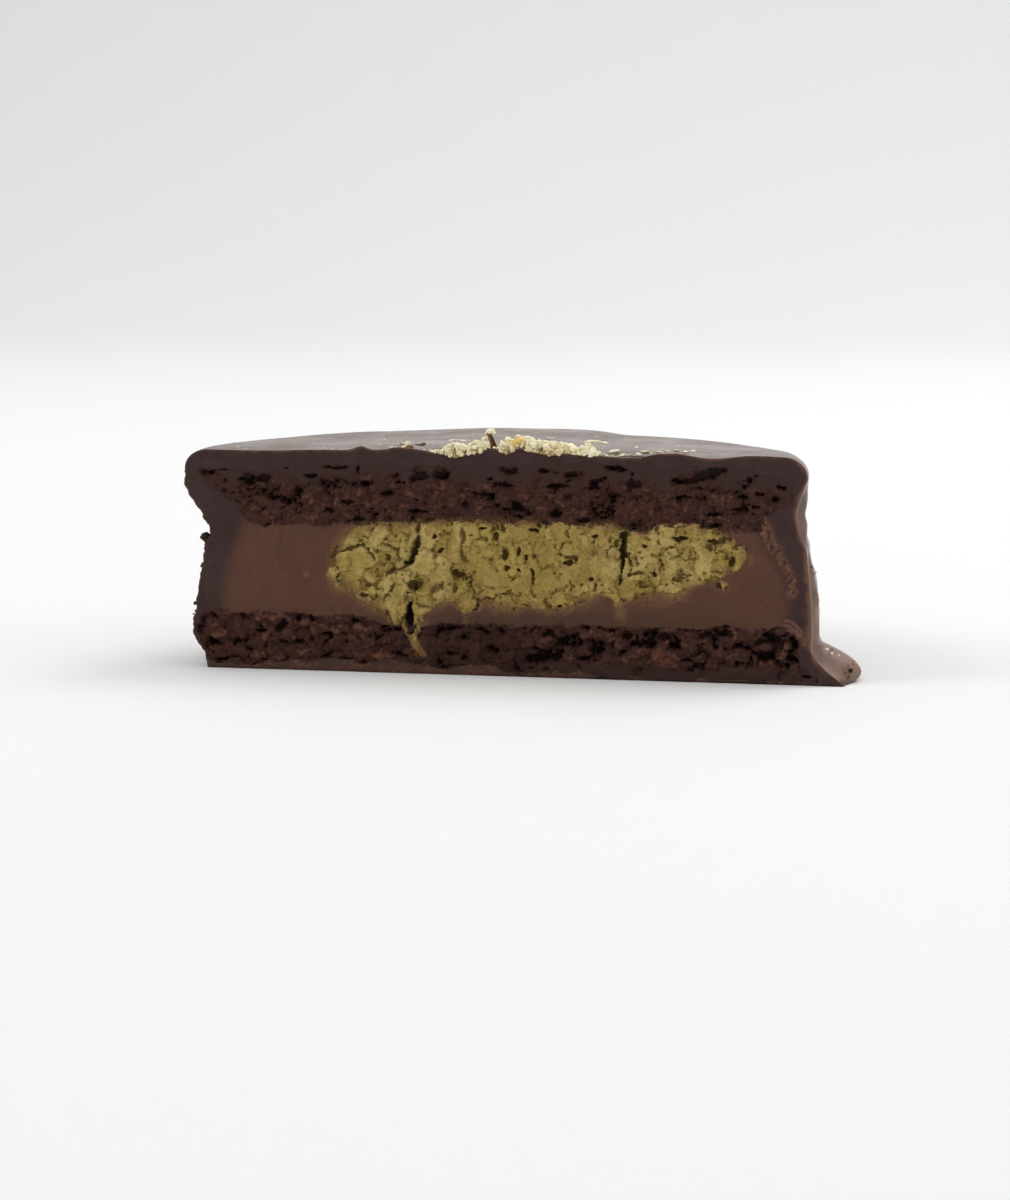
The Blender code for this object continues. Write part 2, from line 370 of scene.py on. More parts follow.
class NodeBoard:
    """A short way to place nodes in a material or a node group and to join them."""

    def __init__(self, tree: bpy.types.NodeTree) -> None:
        """Keeps the tree that the nodes go into."""
        self.tree = tree

    def add(self, kind: str, inputs: dict | None = None, **settings: object) -> bpy.types.Node:
        """Places one node.

        Args:
            kind: Blender's name of the node's type.
            inputs: Values, or output sockets to join, by the input's name or number.
            settings: The node's own settings.

        Returns:
            The node.
        """
        node = self.tree.nodes.new(kind)
        for name, value in settings.items():
            setattr(node, name, value)
        for key, value in (inputs or {}).items():
            if isinstance(value, Socket):
                self.join(value, node.inputs[key])
            else:
                node.inputs[key].default_value = value
        return node

    def join(self, source: Socket, target: Socket) -> None:
        """Joins an output socket to an input socket."""
        self.tree.links.new(source, target)

    def value(self, attribute: str) -> Socket:
        """A number carried by the mesh."""
        return self.add("ShaderNodeAttribute", attribute_name=attribute).outputs["Fac"]

    def math(self, operation: str, *terms: object) -> Socket:
        """One sum, product or comparison, held between 0 and 1."""
        inputs = dict(enumerate(terms))
        return self.add("ShaderNodeMath", inputs, operation=operation, use_clamp=True).outputs[0]

    def mix(self, share: object, first: object, second: object) -> Socket:
        """Mixes two colours by a share."""
        node = self.add(
            "ShaderNodeMix", {0: share, 6: first, 7: second}, data_type="RGBA", clamp_factor=True
        )
        return node.outputs[2]

    def blend(self, colour: object, *layers: tuple) -> Socket:
        """Lays colours over a first one, each given as its share and the colour."""
        for share, tint in layers:
            colour = self.mix(share, colour, tint)
        return colour

    def window(self, value: object, low: float, high: float) -> Socket:
        """0 below low, 1 above high and a smooth step between."""
        node = self.add(
            "ShaderNodeMapRange",
            {"Value": value, "From Min": low, "From Max": high},
            interpolation_type="SMOOTHSTEP",
        )
        return node.outputs["Result"]

    def noise(self, place: object, scale: float, detail: float = 3.0) -> Socket:
        """Cloudy noise from 0 to 1 at that many lumps to the metre."""
        inputs = {"Vector": place, "Scale": scale, "Detail": detail, "Roughness": 0.6}
        return self.add("ShaderNodeTexNoise", inputs).outputs["Fac"]


def new_group(name: str, inputs: dict[str, tuple], outputs: dict[str, str]) -> tuple:
    """Starts a shader node group with named sockets.

    Args:
        name: The group's name.
        inputs: Socket type and default value by name; a default of None is left alone.
        outputs: Socket type by name.

    Returns:
        The group, a board for its nodes, and the sockets of its inputs and outputs.
    """
    group = bpy.data.node_groups.new(name, "ShaderNodeTree")
    for label, (kind, default) in inputs.items():
        socket = group.interface.new_socket(label, in_out="INPUT", socket_type=kind)
        if default is not None:
            socket.default_value = default
    for label, kind in outputs.items():
        group.interface.new_socket(label, in_out="OUTPUT", socket_type=kind)
    board = NodeBoard(group)
    return group, board, board.add("NodeGroupInput").outputs, board.add("NodeGroupOutput").inputs


FLOAT = "NodeSocketFloat"
COLOUR = "NodeSocketColor"
VECTOR = "NodeSocketVector"


def build_mottle() -> bpy.types.ShaderNodeTree:
    """Group: a colour drifting between two neighbours, in clouds and in finer grain."""
    group, board, entry, leave = new_group(
        "mottle",
        {
            "Place": (VECTOR, None),
            "Dark": (COLOUR, None),
            "Light": (COLOUR, None),
            "Cloud Scale": (FLOAT, 150.0),
            "Grain Scale": (FLOAT, 1500.0),
        },
        {"Color": COLOUR},
    )
    cloud = board.noise(entry["Place"], entry["Cloud Scale"], 2.0)
    grain = board.noise(entry["Place"], entry["Grain Scale"], 2.0)
    both = board.add("ShaderNodeMix", {0: 0.45, 2: cloud, 3: grain}).outputs[0]
    share = board.window(both, 0.32, 0.68)
    colour = board.mix(share, entry["Dark"], entry["Light"])
    board.join(colour, leave["Color"])
    return group


def build_grain() -> bpy.types.ShaderNodeTree:
    """Group: a rough surface of coarse and fine grains, as a normal."""
    group, board, entry, leave = new_group(
        "grain",
        {
            "Place": (VECTOR, None),
            "Coarse Scale": (FLOAT, 2000.0),
            "Fine Scale": (FLOAT, 7000.0),
            "Strength": (FLOAT, 0.5),
            "Depth": (FLOAT, 0.0001),
        },
        {"Normal": VECTOR},
    )
    coarse = board.noise(entry["Place"], entry["Coarse Scale"], 2.0)
    fine = board.noise(entry["Place"], entry["Fine Scale"], 2.0)
    height = board.add("ShaderNodeMix", {0: 0.35, 2: coarse, 3: fine}).outputs[0]
    inputs = {"Strength": entry["Strength"], "Distance": entry["Depth"], "Height": height}
    bump = board.add("ShaderNodeBump", inputs)
    board.join(bump.outputs["Normal"], leave["Normal"])
    return group


def build_specks() -> bpy.types.ShaderNodeTree:
    """Group: a mask of small scattered spots, few and of unlike sizes."""
    group, board, entry, leave = new_group(
        "specks",
        {"Place": (VECTOR, None), "Scale": (FLOAT, 700.0), "Amount": (FLOAT, 0.1)},
        {"Mask": FLOAT},
    )
    wander = board.add("ShaderNodeTexNoise", {"Vector": entry["Place"], "Scale": 2600.0})
    nudge = board.add(
        "ShaderNodeVectorMath",
        {0: wander.outputs["Color"], 1: (0.0006, 0.0006, 0.0006), 2: entry["Place"]},
        operation="MULTIPLY_ADD",
    )
    cells = board.add(
        "ShaderNodeTexVoronoi", {"Vector": nudge.outputs[0], "Scale": entry["Scale"]}
    )
    pick = board.add("ShaderNodeSeparateColor", {"Color": cells.outputs["Color"]}).outputs[0]
    chosen = board.math("LESS_THAN", pick, entry["Amount"])
    near = board.window(cells.outputs["Distance"], 0.34, 0.2)
    board.join(board.math("MULTIPLY", chosen, near), leave["Mask"])
    return group


class Finish:
    """Starts a material and places the shared groups in it."""

    groups: dict[str, bpy.types.ShaderNodeTree] = {}

    def __init__(self, name: str, specular: float, ior: float = 1.48) -> None:
        """Starts the material.

        Args:
            name: The material's name.
            specular: The shader's specular level.
            ior: The shader's index of refraction.
        """
        self.material = bpy.data.materials.new(name)
        self.material.use_nodes = True
        self.board = NodeBoard(self.material.node_tree)
        self.shader = self.material.node_tree.nodes["Principled BSDF"]
        self.shader.inputs["Specular IOR Level"].default_value = specular
        self.shader.inputs["IOR"].default_value = ior
        self.place = self.board.add("ShaderNodeTexCoord").outputs["Object"]

    def group(self, name: str, **inputs: object) -> bpy.types.Node:
        """Places a shared group; underscores in the input names stand for spaces."""
        if name not in self.groups:
            builders = {"mottle": build_mottle, "grain": build_grain, "specks": build_specks}
            self.groups[name] = builders[name]()
        node = self.board.add("ShaderNodeGroup", node_tree=self.groups[name])
        self.board.join(self.place, node.inputs["Place"])
        for label, value in inputs.items():
            node.inputs[label.replace("_", " ")].default_value = value
        return node

    def base(self, dark: tuple, light: tuple, cloud: float, grain: float) -> Socket:
        """Mottled colour between two tones, at so many clouds and grains to the metre."""
        mottle = self.group("mottle", Dark=dark, Light=light, Cloud_Scale=cloud, Grain_Scale=grain)
        return mottle.outputs["Color"]

    def rough(self, coarse: float, fine: float, strength: float, depth: float) -> None:
        """Gives the surface coarse and fine grains; the depth is in metres."""
        scales = {"Coarse_Scale": coarse, "Fine_Scale": fine}
        grain = self.group("grain", **scales, Strength=strength, Depth=depth)
        self.wear(Normal=grain.outputs["Normal"])

    def wear(self, **sockets: object) -> Material:
        """Joins or sets the shader's sockets by name and gives the material."""
        for label, value in sockets.items():
            target = self.shader.inputs[label.replace("_", " ")]
            if isinstance(value, Socket):
                self.board.join(value, target)
            else:
                target.default_value = value
        return self.material


def shade(red: float, green: float, blue: float, lift: float = 1.0) -> tuple[float, ...]:
    """A display colour of 0 to 255 as the linear colour that Blender mixes, times a lift."""
    parts = []
    for part in (red, green, blue):
        part = part / 255.0
        linear = part / 12.92 if part <= 0.04045 else ((part + 0.055) / 1.055) ** 2.4
        parts.append(min(linear * lift, 1.0))
    return (*parts, 1.0)


@dataclass(frozen=True)
class SkinFinish:
    """The coat's outside: dark milk chocolate with a soft shine, smears and a few specks."""

    dark: tuple = shade(55, 33, 25)
    light: tuple = shade(69, 43, 32)
    # Lighter scuffs on the foot and the right wall, partly painted highlight standing in for
    # reflections there
    scuff: tuple = shade(151, 118, 99)
    speck: tuple = shade(150, 96, 66)
    pale: tuple = shade(196, 170, 138)
    sheen: tuple = shade(200, 150, 118)
    # A highlight painted along the skin's rim at the cut
    edge: tuple = shade(118, 82, 66)
    glance: tuple = (1.0, 0.95, 0.91, 1.0)

    def build(self) -> Material:
        """Mottled chocolate with orange-brown and pale specks and uneven gloss.

        Returns:
            The skin's material.
        """
        finish = Finish("chocolate_skin", 0.6, 1.5)
        board = finish.board
        colour = finish.base(self.dark, self.light, 120.0, 900.0)
        for scale, amount, tint in ((850.0, 0.006, self.speck), (1700.0, 0.011, self.pale)):
            specks = finish.group("specks", Scale=scale, Amount=amount)
            colour = board.mix(board.math("MULTIPLY", specks.outputs["Mask"], 0.75), colour, tint)
        # The rim along the cut gets a painted highlight
        edge = board.math("MULTIPLY", board.value("edge"), 0.8)
        colour = board.blend(colour, (board.value("scuff"), self.scuff), (edge, self.edge))
        smears = board.noise(finish.place, 210.0, 4.0)
        rough = board.add(
            "ShaderNodeMapRange",
            {"Value": smears, "From Min": 0.3, "From Max": 0.7, "To Min": 0.18, "To Max": 0.32},
        ).outputs["Result"]
        rough = board.math("ADD", rough, board.math("MULTIPLY", board.value("scuff"), 0.4))
        finish.rough(700.0, 4200.0, 0.3, 0.00006)
        finish.wear(Sheen_Weight=0.25, Sheen_Roughness=0.4, Sheen_Tint=self.sheen)
        finish.wear(Specular_Tint=self.glance)
        return finish.wear(Base_Color=colour, Roughness=rough)


@dataclass(frozen=True)
class CutChocolateFinish:
    """The coat where the knife went through: satin, dragged along the cut, with a reddish highlight
    painted along its edge.
    """

    dark: tuple = shade(57, 38, 36)
    light: tuple = shade(68, 48, 46)
    # A reddish highlight painted along the cut's edge
    edge: tuple = shade(128, 90, 72)
    film: tuple = shade(84, 59, 49)
    loose: tuple = shade(106, 71, 55)
    gap: tuple = shade(52, 30, 23)
    crumb: tuple = shade(146, 108, 86)
    cream: tuple = shade(92, 62, 49)

    def build(self) -> Material:
        """Mixes the cut's tones, its lit edge, the film under the base and a crumbly streak.

        Returns:
            The cut chocolate's material.
        """
        finish = Finish("chocolate_cut", 0.2)
        board = finish.board
        streak = board.value("streak")
        grit = board.noise(finish.place, 2700.0, 4.0)
        colour = board.blend(
            finish.base(self.dark, self.light, 260.0, 2600.0),
            (board.value("film"), self.film),
            (board.value("melt"), self.cream),
            (board.math("MULTIPLY", board.value("edge"), 0.8), self.edge),
            (board.math("MULTIPLY", streak, 0.9), self.loose),
            (board.math("MULTIPLY", streak, board.window(grit, 0.48, 0.38)), self.gap),
            (board.math("MULTIPLY", streak, board.window(grit, 0.56, 0.72)), self.crumb),
        )
        finish.rough(1300.0, 5600.0, 0.45, 0.00008)
        return finish.wear(Base_Color=colour, Roughness=0.55)


@dataclass(frozen=True)
class BiscuitFinish:
    """Dark cocoa biscuit: crumbs of unlike tones, pores and hollows painted dark as shade, soaked by
    chocolate at its rim.
    """

    name: str
    dark: tuple = shade(60, 37, 32)
    middle: tuple = shade(80, 51, 43)
    lump: tuple = shade(106, 70, 57)
    pore_shade: tuple = shade(32, 16, 16)
    soaked: tuple = shade(62, 43, 40)
    red: tuple = shade(120, 76, 58)
    stain: tuple = shade(96, 76, 40)

    def build(self) -> Material:
        """Colours crumbs by their tone, and paints shade over what lies deep.

        Returns:
            The biscuit's material.
        """
        finish = Finish(self.name, 0.15)
        board = finish.board
        soak = board.value("soak")
        bits = finish.group("specks", Scale=2300.0, Amount=0.08).outputs["Mask"]
        colour = board.blend(
            finish.base(self.dark, self.middle, 700.0, 3400.0),
            # The lump colour follows the tone, which includes light painted on raised crumbs
            (board.window(board.value("tone"), 0.62, 1.0), self.lump),
            (board.math("MAXIMUM", board.math("MULTIPLY", bits, 0.45), board.value("red")), self.red),
            (soak, self.soaked),
            (board.value("stain"), self.stain),
            (board.value("shade"), self.dark),
            # Pores, gaps and low places painted dark as shade
            (board.window(board.value("pit_shade"), 0.1, 0.95), self.pore_shade),
        )
        rough = board.add("ShaderNodeMix", {0: soak, 2: 0.9, 3: 0.58}).outputs[0]
        finish.rough(2600.0, 8200.0, 0.8, 0.00012)
        return finish.wear(Base_Color=colour, Roughness=rough)


@dataclass(frozen=True)
class CreamFinish:
    """Smooth milk-cocoa cream with a satin sheen and a faint drag of the knife."""

    light: tuple = shade(96, 61, 46)
    dark: tuple = shade(87, 55, 41)
    low: tuple = shade(80, 53, 37)
    stain: tuple = shade(116, 86, 55)
    mark: tuple = shade(66, 38, 30)
    coat: tuple = shade(58, 38, 35)

    def build(self) -> Material:
        """Drifts between two browns, with green smears beside the core.

        Returns:
            The filling's material.
        """
        finish = Finish("cocoa_cream", 0.25)
        masks = {"low": self.low, "stain": self.stain, "mark": self.mark, "melt": self.coat}
        colour = finish.board.blend(
            finish.base(self.dark, self.light, 170.0, 2100.0),
            *((finish.board.value(mask), tint) for mask, tint in masks.items()),
        )
        finish.rough(1100.0, 6500.0, 0.3, 0.00006)
        return finish.wear(Base_Color=colour, Roughness=0.5)


@dataclass(frozen=True)
class PasteFinish:
    """Olive-yellow nut paste, matte and broken into plates by cracks painted dark as shade."""

    light: tuple = shade(179, 154, 87)
    dark: tuple = shade(154, 128, 66)
    # Painted shade: crack for cracks and hollows, depth for the deepest of them and the hole
    crack: tuple = shade(66, 52, 20)
    bare: tuple = shade(204, 181, 116)
    depth: tuple = shade(20, 13, 8)
    stain: tuple = shade(124, 91, 62)

    def build(self) -> Material:
        """Mixes the plates' tones, the cracks and hollows painted dark as shade and the brown film
        dragged over the rim.

        Returns:
            The core's material.
        """
        finish = Finish("nut_paste", 0.15)
        board = finish.board
        pit_shade = board.value("pit_shade")
        colour = board.blend(
            finish.base(self.dark, self.light, 420.0, 2900.0),
            (board.math("MULTIPLY", board.window(board.value("tone"), 0.5, 1.0), 0.55), self.bare),
            (board.window(pit_shade, 0.08, 1.1), self.crack),
            (board.window(pit_shade, 1.0, 1.5), self.depth),
            (board.value("stain"), self.stain),
        )
        finish.rough(2200.0, 8800.0, 0.7, 0.0001)
        return finish.wear(Base_Color=colour, Roughness=0.8)


@dataclass(frozen=True)
class CrumbFinish:
    """Chopped nuts: cream to golden, each crumb with its own tone."""

    name: str = "nut_crumb"
    shadow: tuple = shade(176, 150, 96)
    middle: tuple = shade(244, 228, 180)
    light: tuple = shade(254, 247, 216)
    golden: tuple = shade(238, 206, 122)

    def build(self) -> Material:
        """Runs from dark to light by the crumbs' tone, with a few golden ones.

        Returns:
            The crumbs' material.
        """
        finish = Finish(self.name, 0.25)
        board = finish.board
        tone = board.value("tone")
        colour = board.blend(
            self.shadow,
            (board.window(tone, 0.0, 0.5), self.middle),
            (board.window(tone, 0.4, 0.85), self.light),
            (board.window(board.value("golden"), 0.2, 1.0), self.golden),
        )
        finish.rough(3000.0, 9000.0, 0.7, 0.0001)
        return finish.wear(Base_Color=colour, Roughness=0.8)


@dataclass(frozen=True)
class ShardFinish:
    """Loose bits of coat and biscuit, from near black to a reddish brown."""

    name: str = "dark_crumb"
    dark: tuple = shade(50, 31, 27)
    light: tuple = shade(150, 112, 94)

    def build(self) -> Material:
        """Runs from dark to reddish by the bits' tone.

        Returns:
            The dark crumbs' material.
        """
        finish = Finish(self.name, 0.2)
        board = finish.board
        colour = board.mix(board.window(board.value("tone"), 0.0, 1.0), self.dark, self.light)
        finish.rough(2600.0, 8000.0, 0.6, 0.0001)
        return finish.wear(Base_Color=colour, Roughness=0.75)


# ---- the cookie's form


@dataclass(frozen=True)
class Form:
    """The coat's outside, as in the solids: side, foot, rounded rim and top.

    Walls and foot are lists of (height, how far the side stands off the radius), and the
    top's swells are (x, y, half width, rise), all in millimetres.
    """

    radius: float = 31.0
    height: float = 22.2
    shoulder: float = 20.1
    rim_inset: float = 2.3
    right_wall: Points = (
        (0, 0.5), (3.4, 0.6), (8.5, 0.4), (11.6, 0.1), (13.3, -0.1), (15, -0.8), (16.5, -1.1),
        (18.2, -0.7), (20.1, 0),
    )
    back_wall: Points = (
        (0, -0.2), (1.2, -0.6), (4, -0.8), (10, -0.9), (15, -0.8), (18.3, 0.1), (20.1, 0.2),
    )
    left_wall: Points = (
        (0, -1.7), (1.6, -1.4), (3.4, -0.3), (6.8, -0.7), (11, -1.3), (14.3, -2),
        (16.5, -0.8), (18.6, 0.5), (20.1, 0.4),
    )
    right_ends: tuple[float, float] = (12.0, 70.0)
    left_starts: tuple[float, float] = (110.0, 165.0)
    foot_at_cut: Points = (
        (0, 3.3), (0.6, 2.6), (1.2, 1.8), (1.8, 1.1), (2.4, 0.5), (3.2, 0), (5, 0),
    )
    foot_roll: Points = (
        (0, 4.3), (0.5, 4.7), (1, 4.8), (1.5, 4.5), (2, 3.8), (2.5, 2.9), (3, 1.8),
        (3.4, 0.9), (4.2, 0.2), (5, 0),
    )
    foot_rolls: tuple[float, float] = (0.0, 6.0)
    foot_fades: tuple[float, float] = (11.0, 27.0)
    top_swells: Points = ((-8.0, 5.0, 8.0, 0.3), (15.0, 1.0, 5.0, -0.25), (-2.0, 26.0, 10.0, 0.28))
    # The top drops by a small step at its back: (x from, x to, drop)
    back_step: tuple[float, float, float] = (5.0, 10.0, 0.3)
    # How the cut's upper edge departs from the level top: (x, rise)
    edge_rise: Points = (
        (-31, -0.1), (-25, -0.15), (-20, 0), (-16, 0.1), (-14.4, 0.15), (-13.2, 0.5),
        (-12.2, 0.2), (-10.9, 0.2), (-9.7, 0.42), (-8.4, 0.36), (-6.6, 0.1), (-5, -0.2),
        (-3.5, -0.48), (-2.8, -0.25), (-2.1, 0), (-1.2, 0.06), (-0.4, 0.48), (0.5, 0.42),
        (1.1, 0.1), (1.9, 0.06), (2.6, 0.5), (3.7, 0.25), (4.5, 0), (7.6, -0.05), (10.2, -0.1),
        (12.4, -0.2), (14.6, -0.2), (16, 0.1), (18, 0.25), (21.4, -0.2), (25.2, 0.1), (30, 0),
    )
    edge_fade: float = 1.6
    # The right wall swells out just behind the cut: (height, rise), begins and ends (mm, degrees)
    belly: Points = (
        (0, 0), (2.6, 0.25), (4, 0.6), (8, 0.6), (11, 0.35), (12.3, 0.15), (13.6, 0.25),
        (15.9, 0.8), (17.6, 0.75), (19.4, 0.2), (20.1, 0),
    )
    belly_begins: tuple[float, float] = (0.1, 1.7)
    belly_ends: tuple[float, float] = (7.0, 30.0)
    dimples: Points = ((148.0, 4.6, 1.7, 0.55), (64.0, 12.5, 2.6, 0.25), (100.0, 6.0, 2.2, 0.18))

    def side_radius(self, angle: Array, height: Array) -> Array:
        """Radius of the coat's side with its foot, dimples and soft waves.

        The three walls are mixed by smooth steps of the angle, the foot is added where it
        ran out, and round hollows and layered noise are taken off.

        Args:
            angle: Degrees round the axis, 0 at the right end of the cut.
            height: Millimetres above the base.

        Returns:
            Radii in millimetres.
        """
        walls = [curve_through(w, height) for w in (self.right_wall, self.back_wall, self.left_wall)]
        right = 1 - step(*self.right_ends, angle)
        left = step(*self.left_starts, angle)
        radius = self.radius + right * walls[0] + left * walls[2] + (1 - right - left) * walls[1]
        rolled = step(*self.foot_rolls, angle)
        foot = (1 - rolled) * curve_through(self.foot_at_cut, height)
        foot = foot + rolled * curve_through(self.foot_roll, height)
        radius = radius + foot * (1 - step(*self.foot_fades, angle))
        along = np.radians(angle) * self.radius
        belly = curve_through(self.belly, height) * step(*self.belly_begins, along)
        radius = radius + belly * (1 - step(*self.belly_ends, angle))
        inland = step(0.0, 5.0, along) * step(0.0, 5.0, math.pi * self.radius - along)
        waves = 0.22 * noise(along, height * 0.9, 11.0, 31, 2)
        waves += 0.07 * noise(along, height, 3.2, 37, 2)
        rippled = step(0.2, 1.0, along) * step(10.0, 5.0, along)
        rippled = rippled * step(2.6, 5.0, height) * step(19.4, 17.4, height)
        ripples = 0.15 * noise(along, height, 1.7, 39, 2)
        waves += ripples * rippled / np.maximum(inland, 0.05)
        swelling = noise(along, 0.0 * height, 9.0, 43, 2, y=3.0) * step(14.0, 19.5, height)
        waves += 0.4 * swelling * step(14.0, 26.0, along) * step(82.0, 70.0, along)
        for at_angle, at_height, width, depth in self.dimples:
            distance = np.hypot((angle - at_angle) * math.pi / 180 * self.radius, height - at_height)
            waves = waves - depth * np.exp(-((distance / width) ** 2))
            waves = waves + 0.35 * depth * np.exp(-(((distance - width * 1.35) / (0.35 * width)) ** 2))
        return radius + waves * inland

    def top_height(self, x: Array, y: Array) -> Array:
        """Height of the top: level, with round swells, soft waves and the cut's edge.

        Args:
            x, y: Places in millimetres.

        Returns:
            Heights in millimetres.
        """
        height = self.height + 0 * x
        for at_x, at_y, width, rise in self.top_swells:
            distance = np.hypot(x - at_x, y - at_y) / width
            height = height + rise * np.exp(-(distance**2))
        height = height + 0.06 * noise(x, y, 7.0, 41, 2)
        begins, ends, drop = self.back_step
        height = height - drop * step(begins, ends, x) * step(6.0, 18.0, y)
        swelling = sum(
            rise * np.exp(-((x - at_x) ** 2 + at_y**2) / width**2)
            for at_x, at_y, width, rise in self.top_swells
        )
        edge = curve_through(self.edge_rise, x) - swelling
        return height + edge * np.exp(-((np.maximum(y, 0.0) / self.edge_fade) ** 1.5))

    def left_reach(self) -> float:
        """How far the solid's left end stands from the axis, in millimetres."""
        heights = np.array([15.9, 17.2, 18.5, 20.1])
        return float(self.radius + curve_through(self.left_wall, heights).max())


class Layer(Enum):
    """The layers that show on the cut."""

    COAT = "coat"
    TOP = "top biscuit"
    CREAM = "filling"
    CORE = "core"
    BOTTOM = "bottom biscuit"


@dataclass(frozen=True)
class CutFace:
    """What the knife left: where each layer lies on the cut and how deep its surface is.

    Outlines are (x, z), pores are (x, z, width, height) and cracks are a width with a
    line of (x, z), all in millimetres.
    """

    top_outline: Points = (
        (-30.1, 19.9), (-27.3, 20), (-24.4, 20.1), (-19.3, 20.3), (-16.2, 21), (-12.8, 21),
        (-8.7, 20.7), (-3, 20.9), (1.4, 21), (5.2, 21.1), (9.5, 21.4), (14.9, 21.1),
        (19, 21.2), (23.1, 21.2), (25.6, 20.8), (28.7, 20.4), (29.6, 19.4), (29.4, 17.9),
        (28, 17.3), (26.8, 16.4), (26.2, 14.9), (23, 14.9), (20.7, 15.1), (17.2, 15.1), (14.9, 14.5),
        (12.6, 14.8), (7.9, 14.8), (3.2, 14.9), (1.4, 15.2), (-5.2, 15.1), (-9.6, 15.1),
        (-11.8, 14.8), (-15.3, 15), (-17.3, 14.5), (-19.3, 14.8), (-22.9, 14.5), (-25, 14.9),
        (-25.6, 15.9), (-27.6, 17.7), (-29.4, 19),
    )
    cream_outline: Points = (
        (-25.2, 15.3), (26.2, 15.4), (26.9, 13.5), (28.2, 11.9), (29.1, 10), (29.3, 8),
        (28.9, 6), (28.2, 4.4), (-26.6, 4.6), (-27.7, 6.3), (-27.6, 7.6), (-27.3, 9.3),
        (-26.8, 11.1), (-26.1, 12.9),
    )
    bottom_outline: Points = (
        (-29.4, 6), (-28.2, 6), (-26.2, 5.6), (-23, 5.9), (-20.3, 5.8), (-17.6, 5.6),
        (-15, 5.8), (-12.5, 5.3), (-10.5, 4.8), (-6.8, 4.6), (-5.2, 5.3), (-1.9, 5.2),
        (2.3, 5), (5.6, 5.1), (9.1, 5.4), (12.6, 5.3), (16.1, 5.2), (20.3, 5.4), (23.1, 5.6),
        (26.5, 5.2), (28.4, 5.8), (29.4, 5.4), (30.2, 3.9), (30.4, 2.2), (31.8, 0.5), (27, 0.2),
        (20, 0.22), (13, 0.35), (5, 0.5), (0, 0.8), (-5.2, 0.95), (-9.6, 1.2), (-13, 0.9),
        (-16.3, 1.15), (-20.8, 0.9), (-25, 0.7), (-29, 0.75), (-30, 2.6), (-30.3, 4.4),
    )
    # Small marks in the filling: (x, z, width, height, darkness)
    cream_marks: Points = (
        (-21.8, 12.1, 0.3, 1.3, 0.5), (-21.4, 13.6, 0.25, 0.9, 0.4), (-24.6, 9.6, 0.5, 0.3, 0.25),
        (25.6, 13.6, 0.25, 0.8, 0.3),
    )
    # A thin seam in the coat's left wall, where it ran down twice, painted as a faint highlight line
    coat_seam: Points = ((-28.7, 11.4), (-29.1, 10.2), (-29.3, 8.4), (-29.1, 6.8), (-28.5, 5.6))
    core_outline: Points = (
        (-16.6, 9.6), (-16.3, 11.6), (-15.9, 12.8), (-14.9, 14), (-13.4, 14.8), (-11.3, 15),
        (-4.2, 15.4), (1.3, 15.4), (6.8, 15.3), (12, 15.3), (14.9, 14.6), (17, 15.3),
        (20.6, 15.4), (23.4, 14.6), (25.1, 13.2), (25.2, 12.4), (24.6, 11.4), (22.8, 10.4),
        (21.4, 9.9), (20.2, 9.7), (19.2, 8.9), (18.3, 8.1), (17.4, 8.2), (16.6, 8.7), (15.4, 8.3),
        (14, 7.8), (13.2, 7.3), (13, 6.5), (12.6, 6.4), (12.3, 7.2), (11.8, 8.1), (10.8, 8.5),
        (9.4, 7.6), (6.9, 6.9), (5.4, 6.8), (3.8, 6.9), (1.8, 6.4), (-0.6, 7.4), (-1.4, 6.5),
        (-2.6, 6.1), (-4, 7.4), (-5.6, 6.9), (-6.6, 6), (-7.3, 4.7), (-7.6, 3.8), (-7.2, 2.9),
        (-6.7, 2.1), (-6.6, 1.6), (-7, 1.4), (-7.5, 1.8), (-8.1, 2.7), (-8.6, 3.7), (-9.4, 4.7),
        (-10, 5.2), (-11.6, 6.2), (-12.9, 7.2), (-14.2, 8.2), (-15.8, 8.6),
    )
    # Crumbly streaks in the coat: how much thinner each is, and its line
    crumb_streak: tuple = (
        (0, (
            (26.6, 16), (27.1, 15), (27.6, 13.7), (28.3, 12.5), (28.9, 11.4), (29.4, 10.2),
            (29.5, 9.2),
        )),
        (0.3, ((29.6, 5), (30.4, 4.7), (31.2, 4))),
    )
    # Thin curls that the knife raised above the foot, painted lighter with the edge's highlight tint
    curls: tuple = (
        ((28.7, 6.5), (29.8, 6.1), (30.7, 5.3)), ((28.9, 6), (29.9, 5.5), (30.9, 4.6)),
        ((29.3, 5.4), (30.2, 4.9), (31, 4.1)),
    )
    # A bit of the core that stands alone in the filling: (x, z, radius)
    islet: tuple[float, float, float] = (22.9, 9.6, 0.5)
